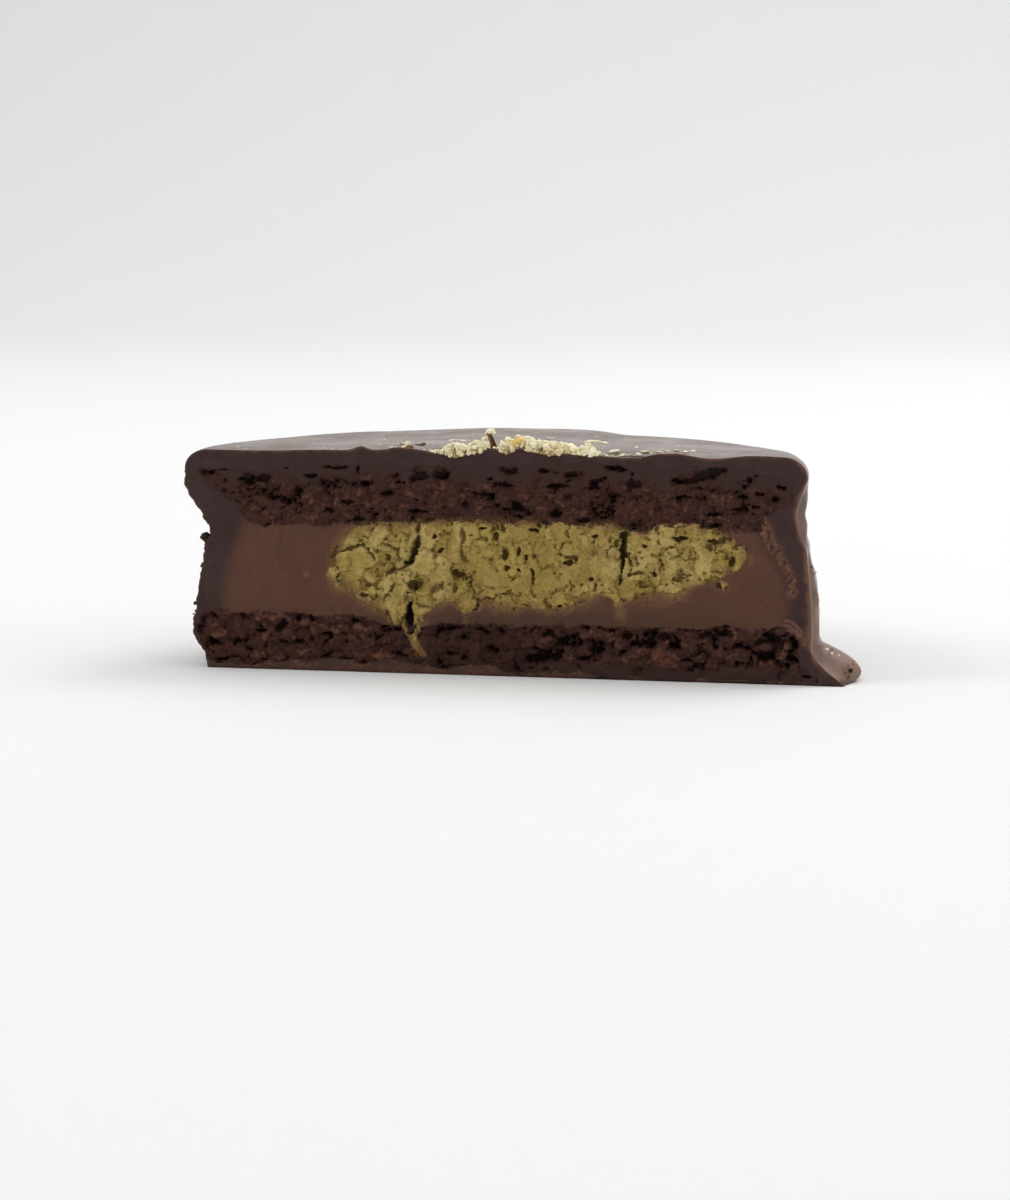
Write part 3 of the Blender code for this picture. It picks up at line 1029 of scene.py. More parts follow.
    # Brown film over the core, green smears in the filling and red lumps in the lower biscuit:
    # (x, z, half width, half height, strength)
    core_films: Points = (
        (-7.2, 2.2, 1.6, 2.2, 0.85), (12.7, 6.6, 1.6, 1.8, 1), (16.6, 8.2, 2.2, 0.9, 0.7),
        (24.9, 12.4, 1.2, 1.5, 0.55), (19.6, 9.4, 1.4, 0.8, 0.45), (-15.6, 9, 1.6, 0.9, 0.5),
        (-5, 6.9, 1.5, 0.9, 0.7), (0.9, 7.2, 1.9, 0.8, 0.7), (-12.4, 7.4, 1.8, 0.9, 0.5),
        (-15.2, 14.2, 1.6, 0.9, 0.5), (-11.8, 14.6, 2.2, 0.5, 0.5),
    )
    cream_smears: Points = (
        (-18.9, 9.7, 0.5, 0.4, 0.8), (12.8, 6.6, 0.8, 0.5, 0.6), (-15.4, 8.2, 1.9, 0.8, 0.5),
        (25.6, 12.2, 0.5, 0.9, 0.6), (16.4, 7.6, 1.6, 0.5, 0.4), (-2.7, 4.7, 0.5, 1.5, 0.7),
    )
    red_lumps: Points = (
        (-11, 1.5, 1.7, 0.6, 0.9), (-14.2, 3.6, 0.8, 0.6, 0.5), (-25.6, 3, 0.7, 0.5, 0.5),
        (16.8, 2.6, 1.1, 1, 0.8), (-3, 1.2, 0.9, 0.4, 0.6), (21, 4, 0.7, 0.6, 0.5),
        (-19.2, 4.6, 0.6, 0.5, 0.5), (-9.4, 3, 0.7, 0.5, 0.4), (9.6, 4, 0.7, 0.5, 0.4),
    )
    top_pores: Points = (
        (-23.4, 19.4, 1.4, 0.7), (-26.4, 21.5, 0.25, 0.4), (-28.7, 19.7, 0.6, 0.3),
        (-22.2, 17.4, 1.6, 0.4), (-14.6, 17.1, 1.4, 0.35), (-15.4, 20.5, 1.5, 0.25),
        (-13.5, 20.3, 0.35, 0.9), (-18.4, 19.6, 0.9, 0.5), (-12.6, 18.9, 0.9, 0.5),
        (-7.3, 19.8, 1.9, 0.8), (-5, 20, 1.5, 0.8), (-16.4, 16.2, 1.2, 0.5),
        (-7.5, 16.2, 2, 0.3), (1.8, 20.4, 1.3, 0.7), (5.2, 20.5, 0.8, 0.45), (7.9, 20.2, 1.2, 0.45),
        (12.3, 20.9, 1.8, 0.5), (18.9, 19.6, 1.3, 0.5), (20.3, 20.1, 1.6, 0.6), (21.8, 20.7, 1.6, 0.65),
        (10, 19.4, 0.9, 0.5), (14, 19.2, 1.3, 0.8), (25.3, 20, 0.7, 0.5), (6.4, 16.3, 1.3, 0.7),
        (9.1, 15.8, 1.4, 0.5), (21.9, 16.5, 1.7, 0.35), (-25.6, 19.3, 0.8, 0.3),
        (26.4, 18.6, 1, 0.45), (27.9, 18.1, 0.8, 0.4), (26, 17.3, 1.1, 0.4), (28.6, 19.1, 0.6, 0.4),
        (24.6, 18.3, 1.2, 0.45), (24.1, 17, 1, 0.4), (27.3, 16.6, 0.7, 0.4),
        (19.6, 19.8, 1.5, 0.6), (21, 20.35, 1.7, 0.65), (22.7, 20.9, 0.9, 0.4),
    )
    bottom_pores: Points = (
        (-21.7, 4.4, 0.9, 1.1), (-14.1, 5.2, 0.7, 0.6), (-9.6, 4.4, 0.8, 0.5), (-19.8, 2.9, 0.7, 0.5),
        (-16.3, 3.5, 0.6, 0.5), (13.6, 4.6, 1.4, 0.8), (17.2, 4.5, 1.2, 0.9), (21.2, 4.7, 1.6, 0.7),
        (23.4, 4.8, 1.8, 0.7), (28.2, 3.9, 1.2, 1.3), (5.7, 4.3, 1, 0.7), (8.6, 4.4, 0.9, 0.5),
        (26.6, 4.2, 0.8, 0.6), (31.2, 0.9, 0.6, 0.3), (-0.6, 4.4, 0.9, 0.4),
    )
    core_pores: Points = (
        (0.3, 13.9, 0.7, 0.9), (1.4, 12.2, 0.45, 1.3), (2.7, 12.5, 0.35, 0.9), (3.5, 11.9, 0.45, 0.5),
        (4.1, 10.4, 0.35, 1.1), (7.8, 11.5, 0.9, 0.4), (9.7, 9.9, 0.4, 0.35), (16, 10.5, 0.6, 0.6),
        (18.5, 14.2, 1.3, 0.5), (22, 13.8, 1.3, 0.5), (23.6, 14.2, 0.5, 0.5), (23.7, 11.9, 0.5, 1.1),
        (15.1, 13.2, 0.5, 0.35), (10.2, 14.2, 0.9, 0.35), (4.1, 14.6, 1.1, 0.3), (1.4, 10.8, 0.5, 0.5),
        (2.8, 10.6, 0.4, 0.4), (-5.9, 13.8, 0.5, 0.35), (-5.2, 12.4, 0.6, 0.4), (-12.9, 7.8, 0.9, 0.3),
        (-7.9, 8.9, 1.2, 0.9), (-3.2, 10, 1.3, 1), (-0.9, 14.7, 0.9, 0.3), (6.8, 7.2, 0.5, 0.3),
    )
    # Soft hollows, set back and painted dark as shade: (x, z, half width, half height, darkness)
    core_shaded_hollows: Points = (
        (-7.7, 9, 1.5, 1, 0.9), (-5.9, 8.6, 2, 0.9, 0.8), (-3.1, 9.9, 1.4, 1, 0.9),
        (-4.2, 9.2, 1.6, 0.8, 0.7), (-1.4, 9.4, 1.5, 0.9, 0.75), (-9.9, 10.4, 1.5, 0.6, 0.7),
        (18.3, 12.2, 0.9, 1, 0.4), (12.7, 12.8, 0.9, 2.1, 0.75), (16.6, 8.5, 1.6, 0.7, 0.6),
        (-7.4, 12.4, 0.8, 2, 0.35), (1, 13, 1.2, 1.6, 0.25), (-6.6, 14.2, 1.2, 0.6, 0.4),
        (9.4, 12.6, 1.4, 0.8, 0.3), (-11.2, 7.6, 0.6, 1, 0.6), (-10.4, 5.9, 0.7, 0.5, 0.7),
        (7.6, 13.4, 0.9, 0.7, 0.3), (22.6, 13.9, 1.6, 0.6, 0.5),
    )
    core_hole: Points = ((-8.4, 7.0), (-8.5, 5.6), (-8.3, 4.1))
    core_cracks: tuple = (
        (0.3, ((-7.5, 14.9), (-7.6, 14), (-7.5, 13.2))),
        (0.5, ((-7.6, 13.2), (-7.9, 12.2), (-8.2, 11.2), (-8.7, 10.8))),
        (0.3, ((-8.7, 10.8), (-9.3, 10.5), (-10.6, 10.1))),
        (0.3, ((-16.1, 11.8), (-15, 12.2), (-13.9, 12.6), (-13.3, 13), (-12.7, 12.6), (-12, 11.5))),
        (0.24, ((-2.9, 14.8), (-2.8, 13.4), (-2.9, 11.7), (-2.7, 10.4), (-2.1, 9.1), (-1.6, 7.8))),
        (0.22, ((-5.4, 8.7), (-4.2, 9.3), (-2.9, 10.1), (-1.9, 9.4))),
        (0.24, ((-10.7, 5.8), (-10.9, 7.1), (-10.5, 8.2), (-9.6, 8.9))),
        (0.24, ((-8.7, 8.1), (-7.6, 7), (-6.3, 6.8))),
        (0.16, ((-1.3, 8.2), (-0.2, 8.7), (0.9, 9.1), (2.2, 8.3), (2.8, 8.2))),
        (0.22, ((0.4, 14.7), (0.4, 13.8))),
        (0.22, ((-11.1, 13.2), (-10.1, 12.4), (-9.4, 11.5))),
        (0.85, ((13, 14.5), (13.05, 12.4))),
        (0.55, ((13.05, 12.4), (12.9, 10.8), (12.75, 9.6))),
        (0.28, ((13.6, 12.6), (13.9, 11.5), (13.6, 10.4), (14.7, 10.8))),
        (0.18, ((4, 10.7), (3.9, 9.2), (4, 7.7))),
        (0.26, ((6.2, 13.8), (6.5, 12.9), (7, 12.4), (8.4, 11.9))),
        (0.18, ((5.8, 8.3), (7, 8.8), (8.6, 9.3))),
        (0.18, ((14.5, 12), (15.4, 12.5), (16.3, 12.4))),
        (0.20, ((18.2, 10.9), (18.1, 9.6))),
        (0.22, ((18.4, 10.6), (19.6, 10.5))),
        (0.26, ((21.4, 13.3), (22.4, 13.8), (23.7, 14.4))),
        (0.24, ((23.2, 12.9), (23.7, 12), (23.7, 11.3))),
        (0.18, ((17.7, 12.6), (18.9, 11.9))),
        (0.16, ((-13, 9.4), (-12.2, 8.6), (-11.2, 8.4))),
        (0.16, ((9.6, 13.9), (10.2, 13.2), (10, 12.2))),
    )

    def insides(self, x: Array, z: Array) -> dict[Layer, Array]:
        """How far each place is inside each layer, in millimetres, with torn borders.

        Places are drawn towards their crumb's middle before the outlines are read, so the
        borders run round whole crumbs.  The core lies over the biscuits, these over the
        filling, and the coat is all that the others leave.

        Args:
            x, z: Places on the cut.

        Returns:
            Distances by layer, positive inside.
        """
        ragged = noise(x, z, 1.1, 51)
        grit = Crumbs.over(x, z, 0.4, 53)
        torn_x, torn_z = x + 0.7 * grit.off_x, z + 0.7 * grit.off_z
        smooth = 0.85 * step(4.6, 3.8, z)
        drawn = (torn_x + (x - torn_x) * smooth, torn_z + (z - torn_z) * smooth)
        core = inside_distance(*drawn, self.core_outline)
        core = np.maximum(core, self.islet[2] - np.hypot(x - self.islet[0], z - self.islet[1]))
        core = core + 0.3 * ragged * (1 - smooth)
        top = inside_distance(torn_x, torn_z, self.top_outline) + 0.16 * ragged
        bottom = inside_distance(torn_x, torn_z, self.bottom_outline) + 0.2 * ragged
        bottom = bottom + 0.5 * step(1.8, 0.8, z) * noise(x, 0 * z, 1.7, 55)
        cream = inside_distance(x, z, self.cream_outline) + 0.1 * ragged
        top = np.minimum(top, -core + 0 * top)
        bottom = np.minimum(bottom, -core)
        cream = np.minimum(np.minimum(cream, -core), np.minimum(-top, -bottom))
        coat = -most(core, cream, top, bottom)
        return dict(zip(Layer, (coat, top, cream, core, bottom)))

    def spots(self, x: Array, z: Array, spots: Points) -> Array:
        """Strongest of some soft round spots: (x, z, half width, half height, strength)."""
        mask = np.zeros(np.shape(x))
        for at_x, at_z, width, height, strength in spots:
            reach = np.hypot((x - at_x) / width, (z - at_z) / height)
            mask = np.maximum(mask, strength * step(1.0, 0.15, reach))
        return mask

    def pores(self, x: Array, z: Array, pores: Points, seed: int, grow: float = 1.0) -> Array:
        """Mask of named pores, grown so many times: ellipses bent by noise, rimmed by crumbs."""
        mask = np.zeros(np.shape(x))
        grit = Crumbs.over(x, z, 0.27, seed + 7)
        bend_x = 0.75 * grit.off_x + 0.6 * noise(x, z, 1.0, seed, 3)
        bend_z = 0.75 * grit.off_z + 0.4 * noise(x, z, 0.8, seed + 3, y=9.0)
        for at_x, at_z, width, height in pores:
            bend = min(0.15 + 0.8 * min(width, height), 1.0)
            away_x = (x + bend * bend_x - at_x) / (width * 0.56 * grow)
            reach = np.hypot(away_x, (z + bend * bend_z - at_z) / (height * 0.58 * grow))
            mask = np.maximum(mask, step(1.2, 0.65, reach))
        return mask

    def biscuit(
        self, x: Array, z: Array, soak: Array, pores: Points, seed: int, lumpy: float
    ) -> tuple:
        """Relief of crumbled biscuit: lumps and clouds, painted dark as shade where they leave hollows.

        The rise is the sum of domes over scattered points at three sizes and of a cloudy
        noise stretched along x, rimmed by whole crumbs; what is low is painted dark as shade,
        and what is lowest is an open gap.  Where chocolate soaked in, only bubbles stay open.

        Args:
            x, z: Places on the cut.
            soak: 1 where chocolate has filled the crumb and left it smooth.
            pores: The named pores.
            seed: Picks the crumbs.
            lumpy: How far the lumps stand out.

        Returns:
            Depth in millimetres, mask of painted shade in pits and low places, and crumb tone with
            painted light on raised crumbs, both from 0 to 1.
        """
        bend_x = x + 0.35 * noise(x, z, 1.2, seed + 2)
        bend_z = z + 0.35 * noise(x, z, 1.2, seed + 5, y=5.0)
        size = 0.55 + 0.45 * lumpy
        big = Crumbs.over(bend_x, bend_z * 1.15, 1.1 * size, seed)
        middle = Crumbs.over(bend_x + 7, bend_z * 1.1, 0.52 * size, seed + 1)
        grit = Crumbs.over(x, z, 0.25, seed + 2)
        near_x, near_z = x + 0.7 * grit.off_x, z + 0.7 * grit.off_z
        cloud = noise(near_x / 1.45, near_z, 0.9, seed + 7, 4, y=2.0)
        where = noise(x / 2.0, z, 2.1, seed + 13, 2, y=3.0)
        rise = 0.4 * lumpy * (big.dome(0.9) + 0.8 * big.tone - 1.15)
        rise = rise + 0.34 * (middle.dome(0.85) - 0.7) + 0.08 * (grit.dome(0.9) - 0.6) + 0.5 * cloud
        # Low places are painted dark as shade; the lower biscuit's middle and right are set lower, for
        # more of it
        deeper = 0.07 * step(-10.0, -5.0, x) + 0.09 * step(4.0, 10.0, x)
        low = rise + 0.1 * where - deeper * step(0.9, 2.0, z) * step(8.0, 6.0, z)
        hollow_shade = step(0.12, -0.22, low)
        gaps = step(-0.18, -0.36, low)
        dots = step(0.08, 0.06, grit.tone) * step(0.7, 0.4, grit.near)
        named = self.pores(x, z, pores, seed + 19)
        loose = 1 - soak
        band = step(17.4, 18.4, z) * step(20.9, 20.2, z)
        bubbles = noise(near_x / 1.9, near_z / 0.85, 0.8, seed + 23, y=2.0)
        bubbles = step(0.36, 0.6, bubbles - 0.2 * step(0.2, -0.3, where)) * band
        drawn = most(0.62 * hollow_shade, 0.98 * gaps, 0.4 * dots) * (0.2 + 0.8 * loose)
        pit_shade = most(drawn, 0.95 * bubbles, named * (0.8 + 0.2 * step(0.2, -0.2, rise)))
        open_pits = most(gaps * loose, bubbles, named)
        depth = 0.05 + 0.2 * loose - rise * (0.1 + 0.9 * loose) + 0.6 * open_pits
        # Raised crumbs are painted lighter, as if lit
        tones = 0.35 * big.tone + 0.35 * middle.tone + 0.3 * grit.tone + 0.3 * rise
        return depth, np.clip(0.9 * pit_shade, 0, 1), tones * (0.35 + 0.65 * loose)

    def core(self, x: Array, z: Array) -> tuple:
        """Relief of torn nut paste: leaning plates and chips, with gaps where they parted.

        Plates and chips are cells round scattered points, each with its own height and
        lean.  Gaps open along some of their borders, some chips are missing, and the
        named cracks and pores are cut in.  All of it is read at places drawn towards
        their crumb's middle, so every rim runs round whole crumbs.

        Args:
            x, z: Places on the cut.

        Returns:
            Depth in millimetres, mask of cracks, pores and hollows painted dark as shade, and plate
            tone with painted highlights on crack lips, both from 0 to 1.
        """
        grit = Crumbs.over(x, z, 0.33, 87)
        near_x = x + 0.72 * grit.off_x + 0.14 * noise(x, z, 0.6, 91, 2)
        near_z = z + 0.72 * grit.off_z + 0.14 * noise(x, z, 0.6, 93, 2, y=6.0)
        bend_x = near_x + 0.5 * noise(x, z, 1.6, 71)
        bend_z = near_z + 0.5 * noise(x, z, 1.6, 75, y=4.0)
        plates = Crumbs.over(bend_x, 0.75 * bend_z, 2.0, 79)
        chips = Crumbs.over(bend_x + 5.0, 0.85 * bend_z, 0.85, 83)
        calm = (1 - 0.6 * step(-12.3, -13.3, x)) * step(3.6, 4.8, z)
        torn = step(0.05, 0.55, noise(x, z, 1.5, 88, y=2.0)) * calm
        parted = step(0.15, 0.04, plates.second - plates.near) * torn
        nicked = step(0.16, 0.04, chips.second - chips.near)
        nicked = nicked * step(0.25, 0.7, noise(x, z, 1.1, 89, 2, y=7.0)) * calm
        missing = step(0.045, 0.03, chips.tone) * step(0.5, 0.3, chips.near)
        dots = step(0.025, 0.02, grit.tone) * step(0.6, 0.4, grit.near) * calm
        wander = 1 + 0.8 * noise(x, z, 1.5, 92, y=1.0)
        crack = np.zeros(np.shape(x))
        crack_side_shade, lip_highlight = crack.copy(), crack.copy()
        rim_x = 0.3 * x + 0.7 * near_x + 0.45 * chips.off_x
        rim_x = rim_x + 0.25 * noise(x, z, 1.4, 101, 2, y=2.0)
        rim_z = 0.3 * z + 0.7 * near_z + 0.45 * chips.off_z
        rim_z = rim_z + 0.25 * noise(x, z, 1.4, 103, 2, y=4.0)
        for width, line in self.core_cracks:
            away = line_distance(rim_x, rim_z, line)
            reach = away / (width * np.maximum(wander, 0.15))
            crack = np.maximum(crack, step(1.0, 0.2, reach) * min(2.2 * width + 0.2, 1.3))
            # A soft shade painted along one side of each crack
            beside = line_distance(rim_x + 0.8 * width, rim_z - 0.2, line)
            crack_side_shade = np.maximum(crack_side_shade, step(2.6 * width, 0.1, beside) * min(1.6 * width, 0.55))
            lip_highlight = np.maximum(lip_highlight, step(0.9, 0.4, away))
        crack_side_shade = crack_side_shade * step(-0.4, 0.5, noise(x, z, 0.7, 94, y=3.0))
        named = self.pores(x, z, self.core_pores, 95)
        pit_shade = most(crack, 0.95 * named, 0.7 * parted, 0.5 * nicked, 0.7 * missing, 0.5 * dots, crack_side_shade)
        # Hollows: set back and painted dark as shade
        clouds = self.spots(bend_x, bend_z, self.core_shaded_hollows)
        clouds = clouds * (0.75 + 0.5 * noise(x, z, 0.8, 97, y=8.0))
        hole = line_distance(0.5 * (x + near_x), z, self.core_hole) + 0.17 * np.abs(z - 5.5)
        hole = step(0.55, 0.35, hole)
        rough = 0.34 * (plates.tone - 0.5) + 0.2 * plates.lean()
        rough = rough + calm * (0.15 * (chips.tone - 0.5) + 0.22 * chips.lean()) + 0.03 * grit.dome(0.9)
        rough = rough + 0.2 * noise(x * 1.3, z * 0.8, 1.2, 99, 4)
        depth = 0.25 - rough + 0.5 * pit_shade + 0.6 * hole + 0.35 * clouds
        pit_shade = np.maximum(pit_shade, 0.8 * clouds)
        tone = 0.55 + 0.4 * (plates.tone - 0.5) + 0.3 * (chips.tone - 0.5) * calm
        tone = tone + 0.1 * (grit.tone - 0.5) + 0.34 * noise(x, z, 1.3, 96, y=2.0)
        # Crack lips are painted lighter, as a highlight
        tone = tone + 0.25 * lip_highlight * (1 - np.minimum(crack, 1)) - 0.25 * step(20.0, 23.0, x)
        tone = tone + 0.08 - 0.46 * step(-5.0, -1.0, x) * step(12.0, 7.0, x)
        return depth, np.maximum(pit_shade, 1.6 * hole), np.clip(tone, 0, 1)

    def relief(self, x: Array, z: Array) -> dict[str, Array]:
        """Depth of the cut and the masks that colour it, for any place on it.

        Every layer's own relief counts where the place is inside it, with a soft step
        across the borders, so that neighbouring pieces share one surface.

        Args:
            x, z: Places on the cut, in millimetres.

        Returns:
            Arrays by name: depth, the masks, and the insides by layer.
        """
        insides = self.insides(x, z)
        core_in = insides[Layer.CORE]
        drift = noise(x, z, 2.4, 61)
        fray = noise(x, z, 0.9, 62)
        upper = 19.5 + 0.8 * drift + 0.7 * fray
        soak_top = step(-1.3, 1.0, z - upper) * step(12.0, 15.0, z)
        soak_side = np.maximum(step(-24.5, -27.0, x + 0.8 * drift), step(24.8, 26.8, x + 0.8 * drift))
        soak_top = np.maximum(soak_top, 0.3 * soak_side * step(15.0, 16.0, z))
        rims = self.pores(x, z, self.top_pores, 120, 1.9) * step(-0.3, 0.3, fray)
        soak_top = soak_top * (1 - 0.8 * rims)
        soak_low = 0.8 * step(1.9, 0.9, z + 0.5 * drift) * step(-4.0, 12.0, x)
        top_depth, top_pit_shade, top_tone = self.biscuit(x, z, soak_top, self.top_pores, 101, 0.55)
        low_depth, low_pit_shade, low_tone = self.biscuit(x, z, soak_low, self.bottom_pores, 131, 1.0)
        core_depth, core_pit_shade, core_tone = self.core(x, z)
        cream_depth = 0.06 + 0.05 * drift + 0.02 * noise(x, z, 0.8, 63, 2)
        coat_depth = 0.03 + 0.05 * noise(x, z, 3.0, 65, 2)
        beside = [line_distance(x, z, line) + short for short, line in self.crumb_streak]
        streak = step(0.85, 0.4, np.minimum(*beside) + 0.2 * noise(x, z, 0.7, 69, 2))
        strip = step(1.4, 0.9, z) * step(-0.1, 0.4, noise(x, z, 0.8, 72))
        strip = np.maximum(streak, 0.7 * strip * step(31.0, 29.0, x))
        grit = Crumbs.over(x, z, 0.24, 161)
        seam = step(0.22, 0.05, line_distance(x, z, self.coat_seam))
        curls = sum(step(0.2, 0.06, line_distance(x, z, line)) for line in self.curls)
        weights = {layer: step(-0.12, 0.12, insides[layer]) for layer in Layer}
        depths = (coat_depth, top_depth, cream_depth, core_depth, low_depth)
        depth = sum(weights[layer] * own for layer, own in zip(Layer, depths))
        depth = depth / (sum(weights.values()) + 1e-6)
        depth = depth + (0.1 - 0.3 * grit.dome(0.8) * grit.tone) * streak - 0.15 * curls
        biscuit_pit_shade = top_pit_shade * weights[Layer.TOP] + low_pit_shade * weights[Layer.BOTTOM]
        smear = noise(x, z, 1.3, 67)
        films = self.spots(x + 0.5 * smear, z + 0.4 * fray, self.core_films)
        rubbed = 0.15 + 0.25 * step(10.0, 8.0, z) + 1.1 * np.clip(smear + 0.35, 0, 1.2)
        rubbed = step(rubbed, 0.0, core_in)
        beside_core = step(-0.25 - 0.8 * np.clip(smear + 0.4, 0, 1), 0.0, core_in)
        beside_core = beside_core * step(25.0, 19.0, x)
        rim = inside_distance(x, z, self.cream_outline)
        melt = step(5.0, 6.5, z) * step(16.0, 15.0, z)
        cream_stain = np.maximum(0.8 * beside_core, self.spots(x, z, self.cream_smears))
        return {
            "depth": depth,
            "pit_shade": biscuit_pit_shade + core_pit_shade * weights[Layer.CORE],
            "tone": np.where(z > 10, top_tone, low_tone),
            "red": self.spots(x + 0.3 * fray, z + 0.3 * drift, self.red_lumps),
            "core_tone": core_tone,
            "soak": np.where(z > 10, soak_top, soak_low),
            "cream_stain": cream_stain,
            "crumb_stain": 0.5 * cream_stain,
            "core_stain": np.maximum(0.85 * rubbed, films),
            "low": step(7.4, 6.0, z + 0.4 * drift) * step(-16.0, -8.0, x) * step(30.0, 20.0, x),
            "streak": strip,
            # Seam and curls take the edge's painted highlight
            "seam": np.maximum(0.1 * seam, curls),
            "marks": self.spots(x, z, self.cream_marks),
            "coat_melt": 0.4 * step(1.0, 0.0, rim) * melt,
            "cream_melt": 0.4 * step(-0.7, 0.0, rim) * melt,
            "pocket": step(1.3, 0.8, line_distance(x, z, self.core_hole)),
            "shade": 0.75 * step(-14.0, -7.0, x) * step(9.0, 3.0, x) * step(8.0, 6.0, z),
            "insides": insides,
        }


# ---- the pieces


@dataclass(frozen=True)
class LayerSlab:
    """A layer inside the coat: a fine front on the cut and a plain round body behind it.

    The body is carried along x.  Each section is a loop: up the front, back over the
    roof, down the back and forward under the floor.  Past its own borders the front
    dives behind its neighbours'.
    """

    layer: Layer
    reach: tuple[float, float]
    floor: Points
    roof: Points
    depth: float
    pitch: float = 0.1
    margin: float = 0.7
    plunge: float = 1.0
    end_margin: float = 0.45
    shell: float = 28.0
    corner: float = 0.6
    thinnest: float = 2.2

    def build(self, name: str, face: CutFace, place: Place, material: Material) -> Piece:
        """Builds the layer's mesh.

        Args:
            name: The piece's name.
            face: The cut's description.
            place: Where the cookie stands.
            material: The piece's material.

        Returns:
            The piece.
        """
        start, end = self.reach[0] - self.end_margin, self.reach[1] + self.end_margin
        columns = int((end - start) / self.pitch)
        x = np.linspace(start, end, columns)
        low = np.interp(x, *np.array(self.floor).T) - self.margin
        high = np.interp(x, *np.array(self.roof).T) + self.margin
        rows = int((high - low).max() / self.pitch)
        share = np.linspace(0.0, 1.0, rows)
        front_x = np.repeat(x[:, None], rows, axis=1)
        front_z = low[:, None] + (high - low)[:, None] * share
        relief = face.relief(front_x, front_z)
        inside = relief["insides"][self.layer]
        dive = self.plunge * step(-0.1, -1.1, inside) + 0.35 * np.clip(-inside, 0, 1)
        dive = dive + 1.6 * relief["pocket"] * step(0.0, -0.2, inside)
        front_y = relief["depth"] + dive
        middle, half = (start + end) / 2, (end - start) / 2
        bow = np.sqrt(np.clip(1 - ((x - middle) / (half + 0.4)) ** 2, 0.0, 1.0))
        back = np.minimum(self.depth * bow, np.sqrt(np.clip(self.shell**2 - x**2, 0.0, None)))
        back = np.maximum(back, self.thinnest)
        away = (0.4, 0.75, 1.0)
        roof, floor = (
            [(front_y[:, end] * (1 - part) + back * part, edge + turn * part) for part in away]
            for end, edge, turn in ((-1, high, -self.corner), (0, low, self.corner))
        )
        tall = high - low - 2 * self.corner
        rear = [(back, low + self.corner + tall * part) for part in (0.66, 0.33)]
        behind = [*roof, *rear, *floor[::-1]]
        ring_y = np.concatenate([front_y, np.stack([y for y, _ in behind], axis=1)], axis=1)
        ring_z = np.concatenate([front_z, np.stack([z for _, z in behind], axis=1)], axis=1)
        ring_x = np.repeat(x[:, None], ring_y.shape[1], axis=1)
        loops = np.stack([ring_x, ring_y, ring_z], axis=-1)
        return rod(name, loops, self.values(relief, ring_x.shape), place, material)

    def values(self, relief: dict[str, Array], shape: tuple[int, int]) -> dict[str, Array]:
        """The masks that this layer's finish reads, spread over the whole body."""
        reads = {
            Layer.CREAM: {"stain": "cream_stain", "low": "low", "mark": "marks", "melt": "coat_melt"},
            Layer.CORE: {"pit_shade": "pit_shade", "tone": "core_tone", "stain": "core_stain"},
        }
        biscuit = {label: label for label in ("pit_shade", "tone", "soak", "shade", "red")}
        biscuit["stain"] = "crumb_stain"
        spread = {}
        for label, mask in reads.get(self.layer, biscuit).items():
            spread[label] = np.zeros(shape)
            spread[label][:, : relief[mask].shape[1]] = relief[mask]
        return spread


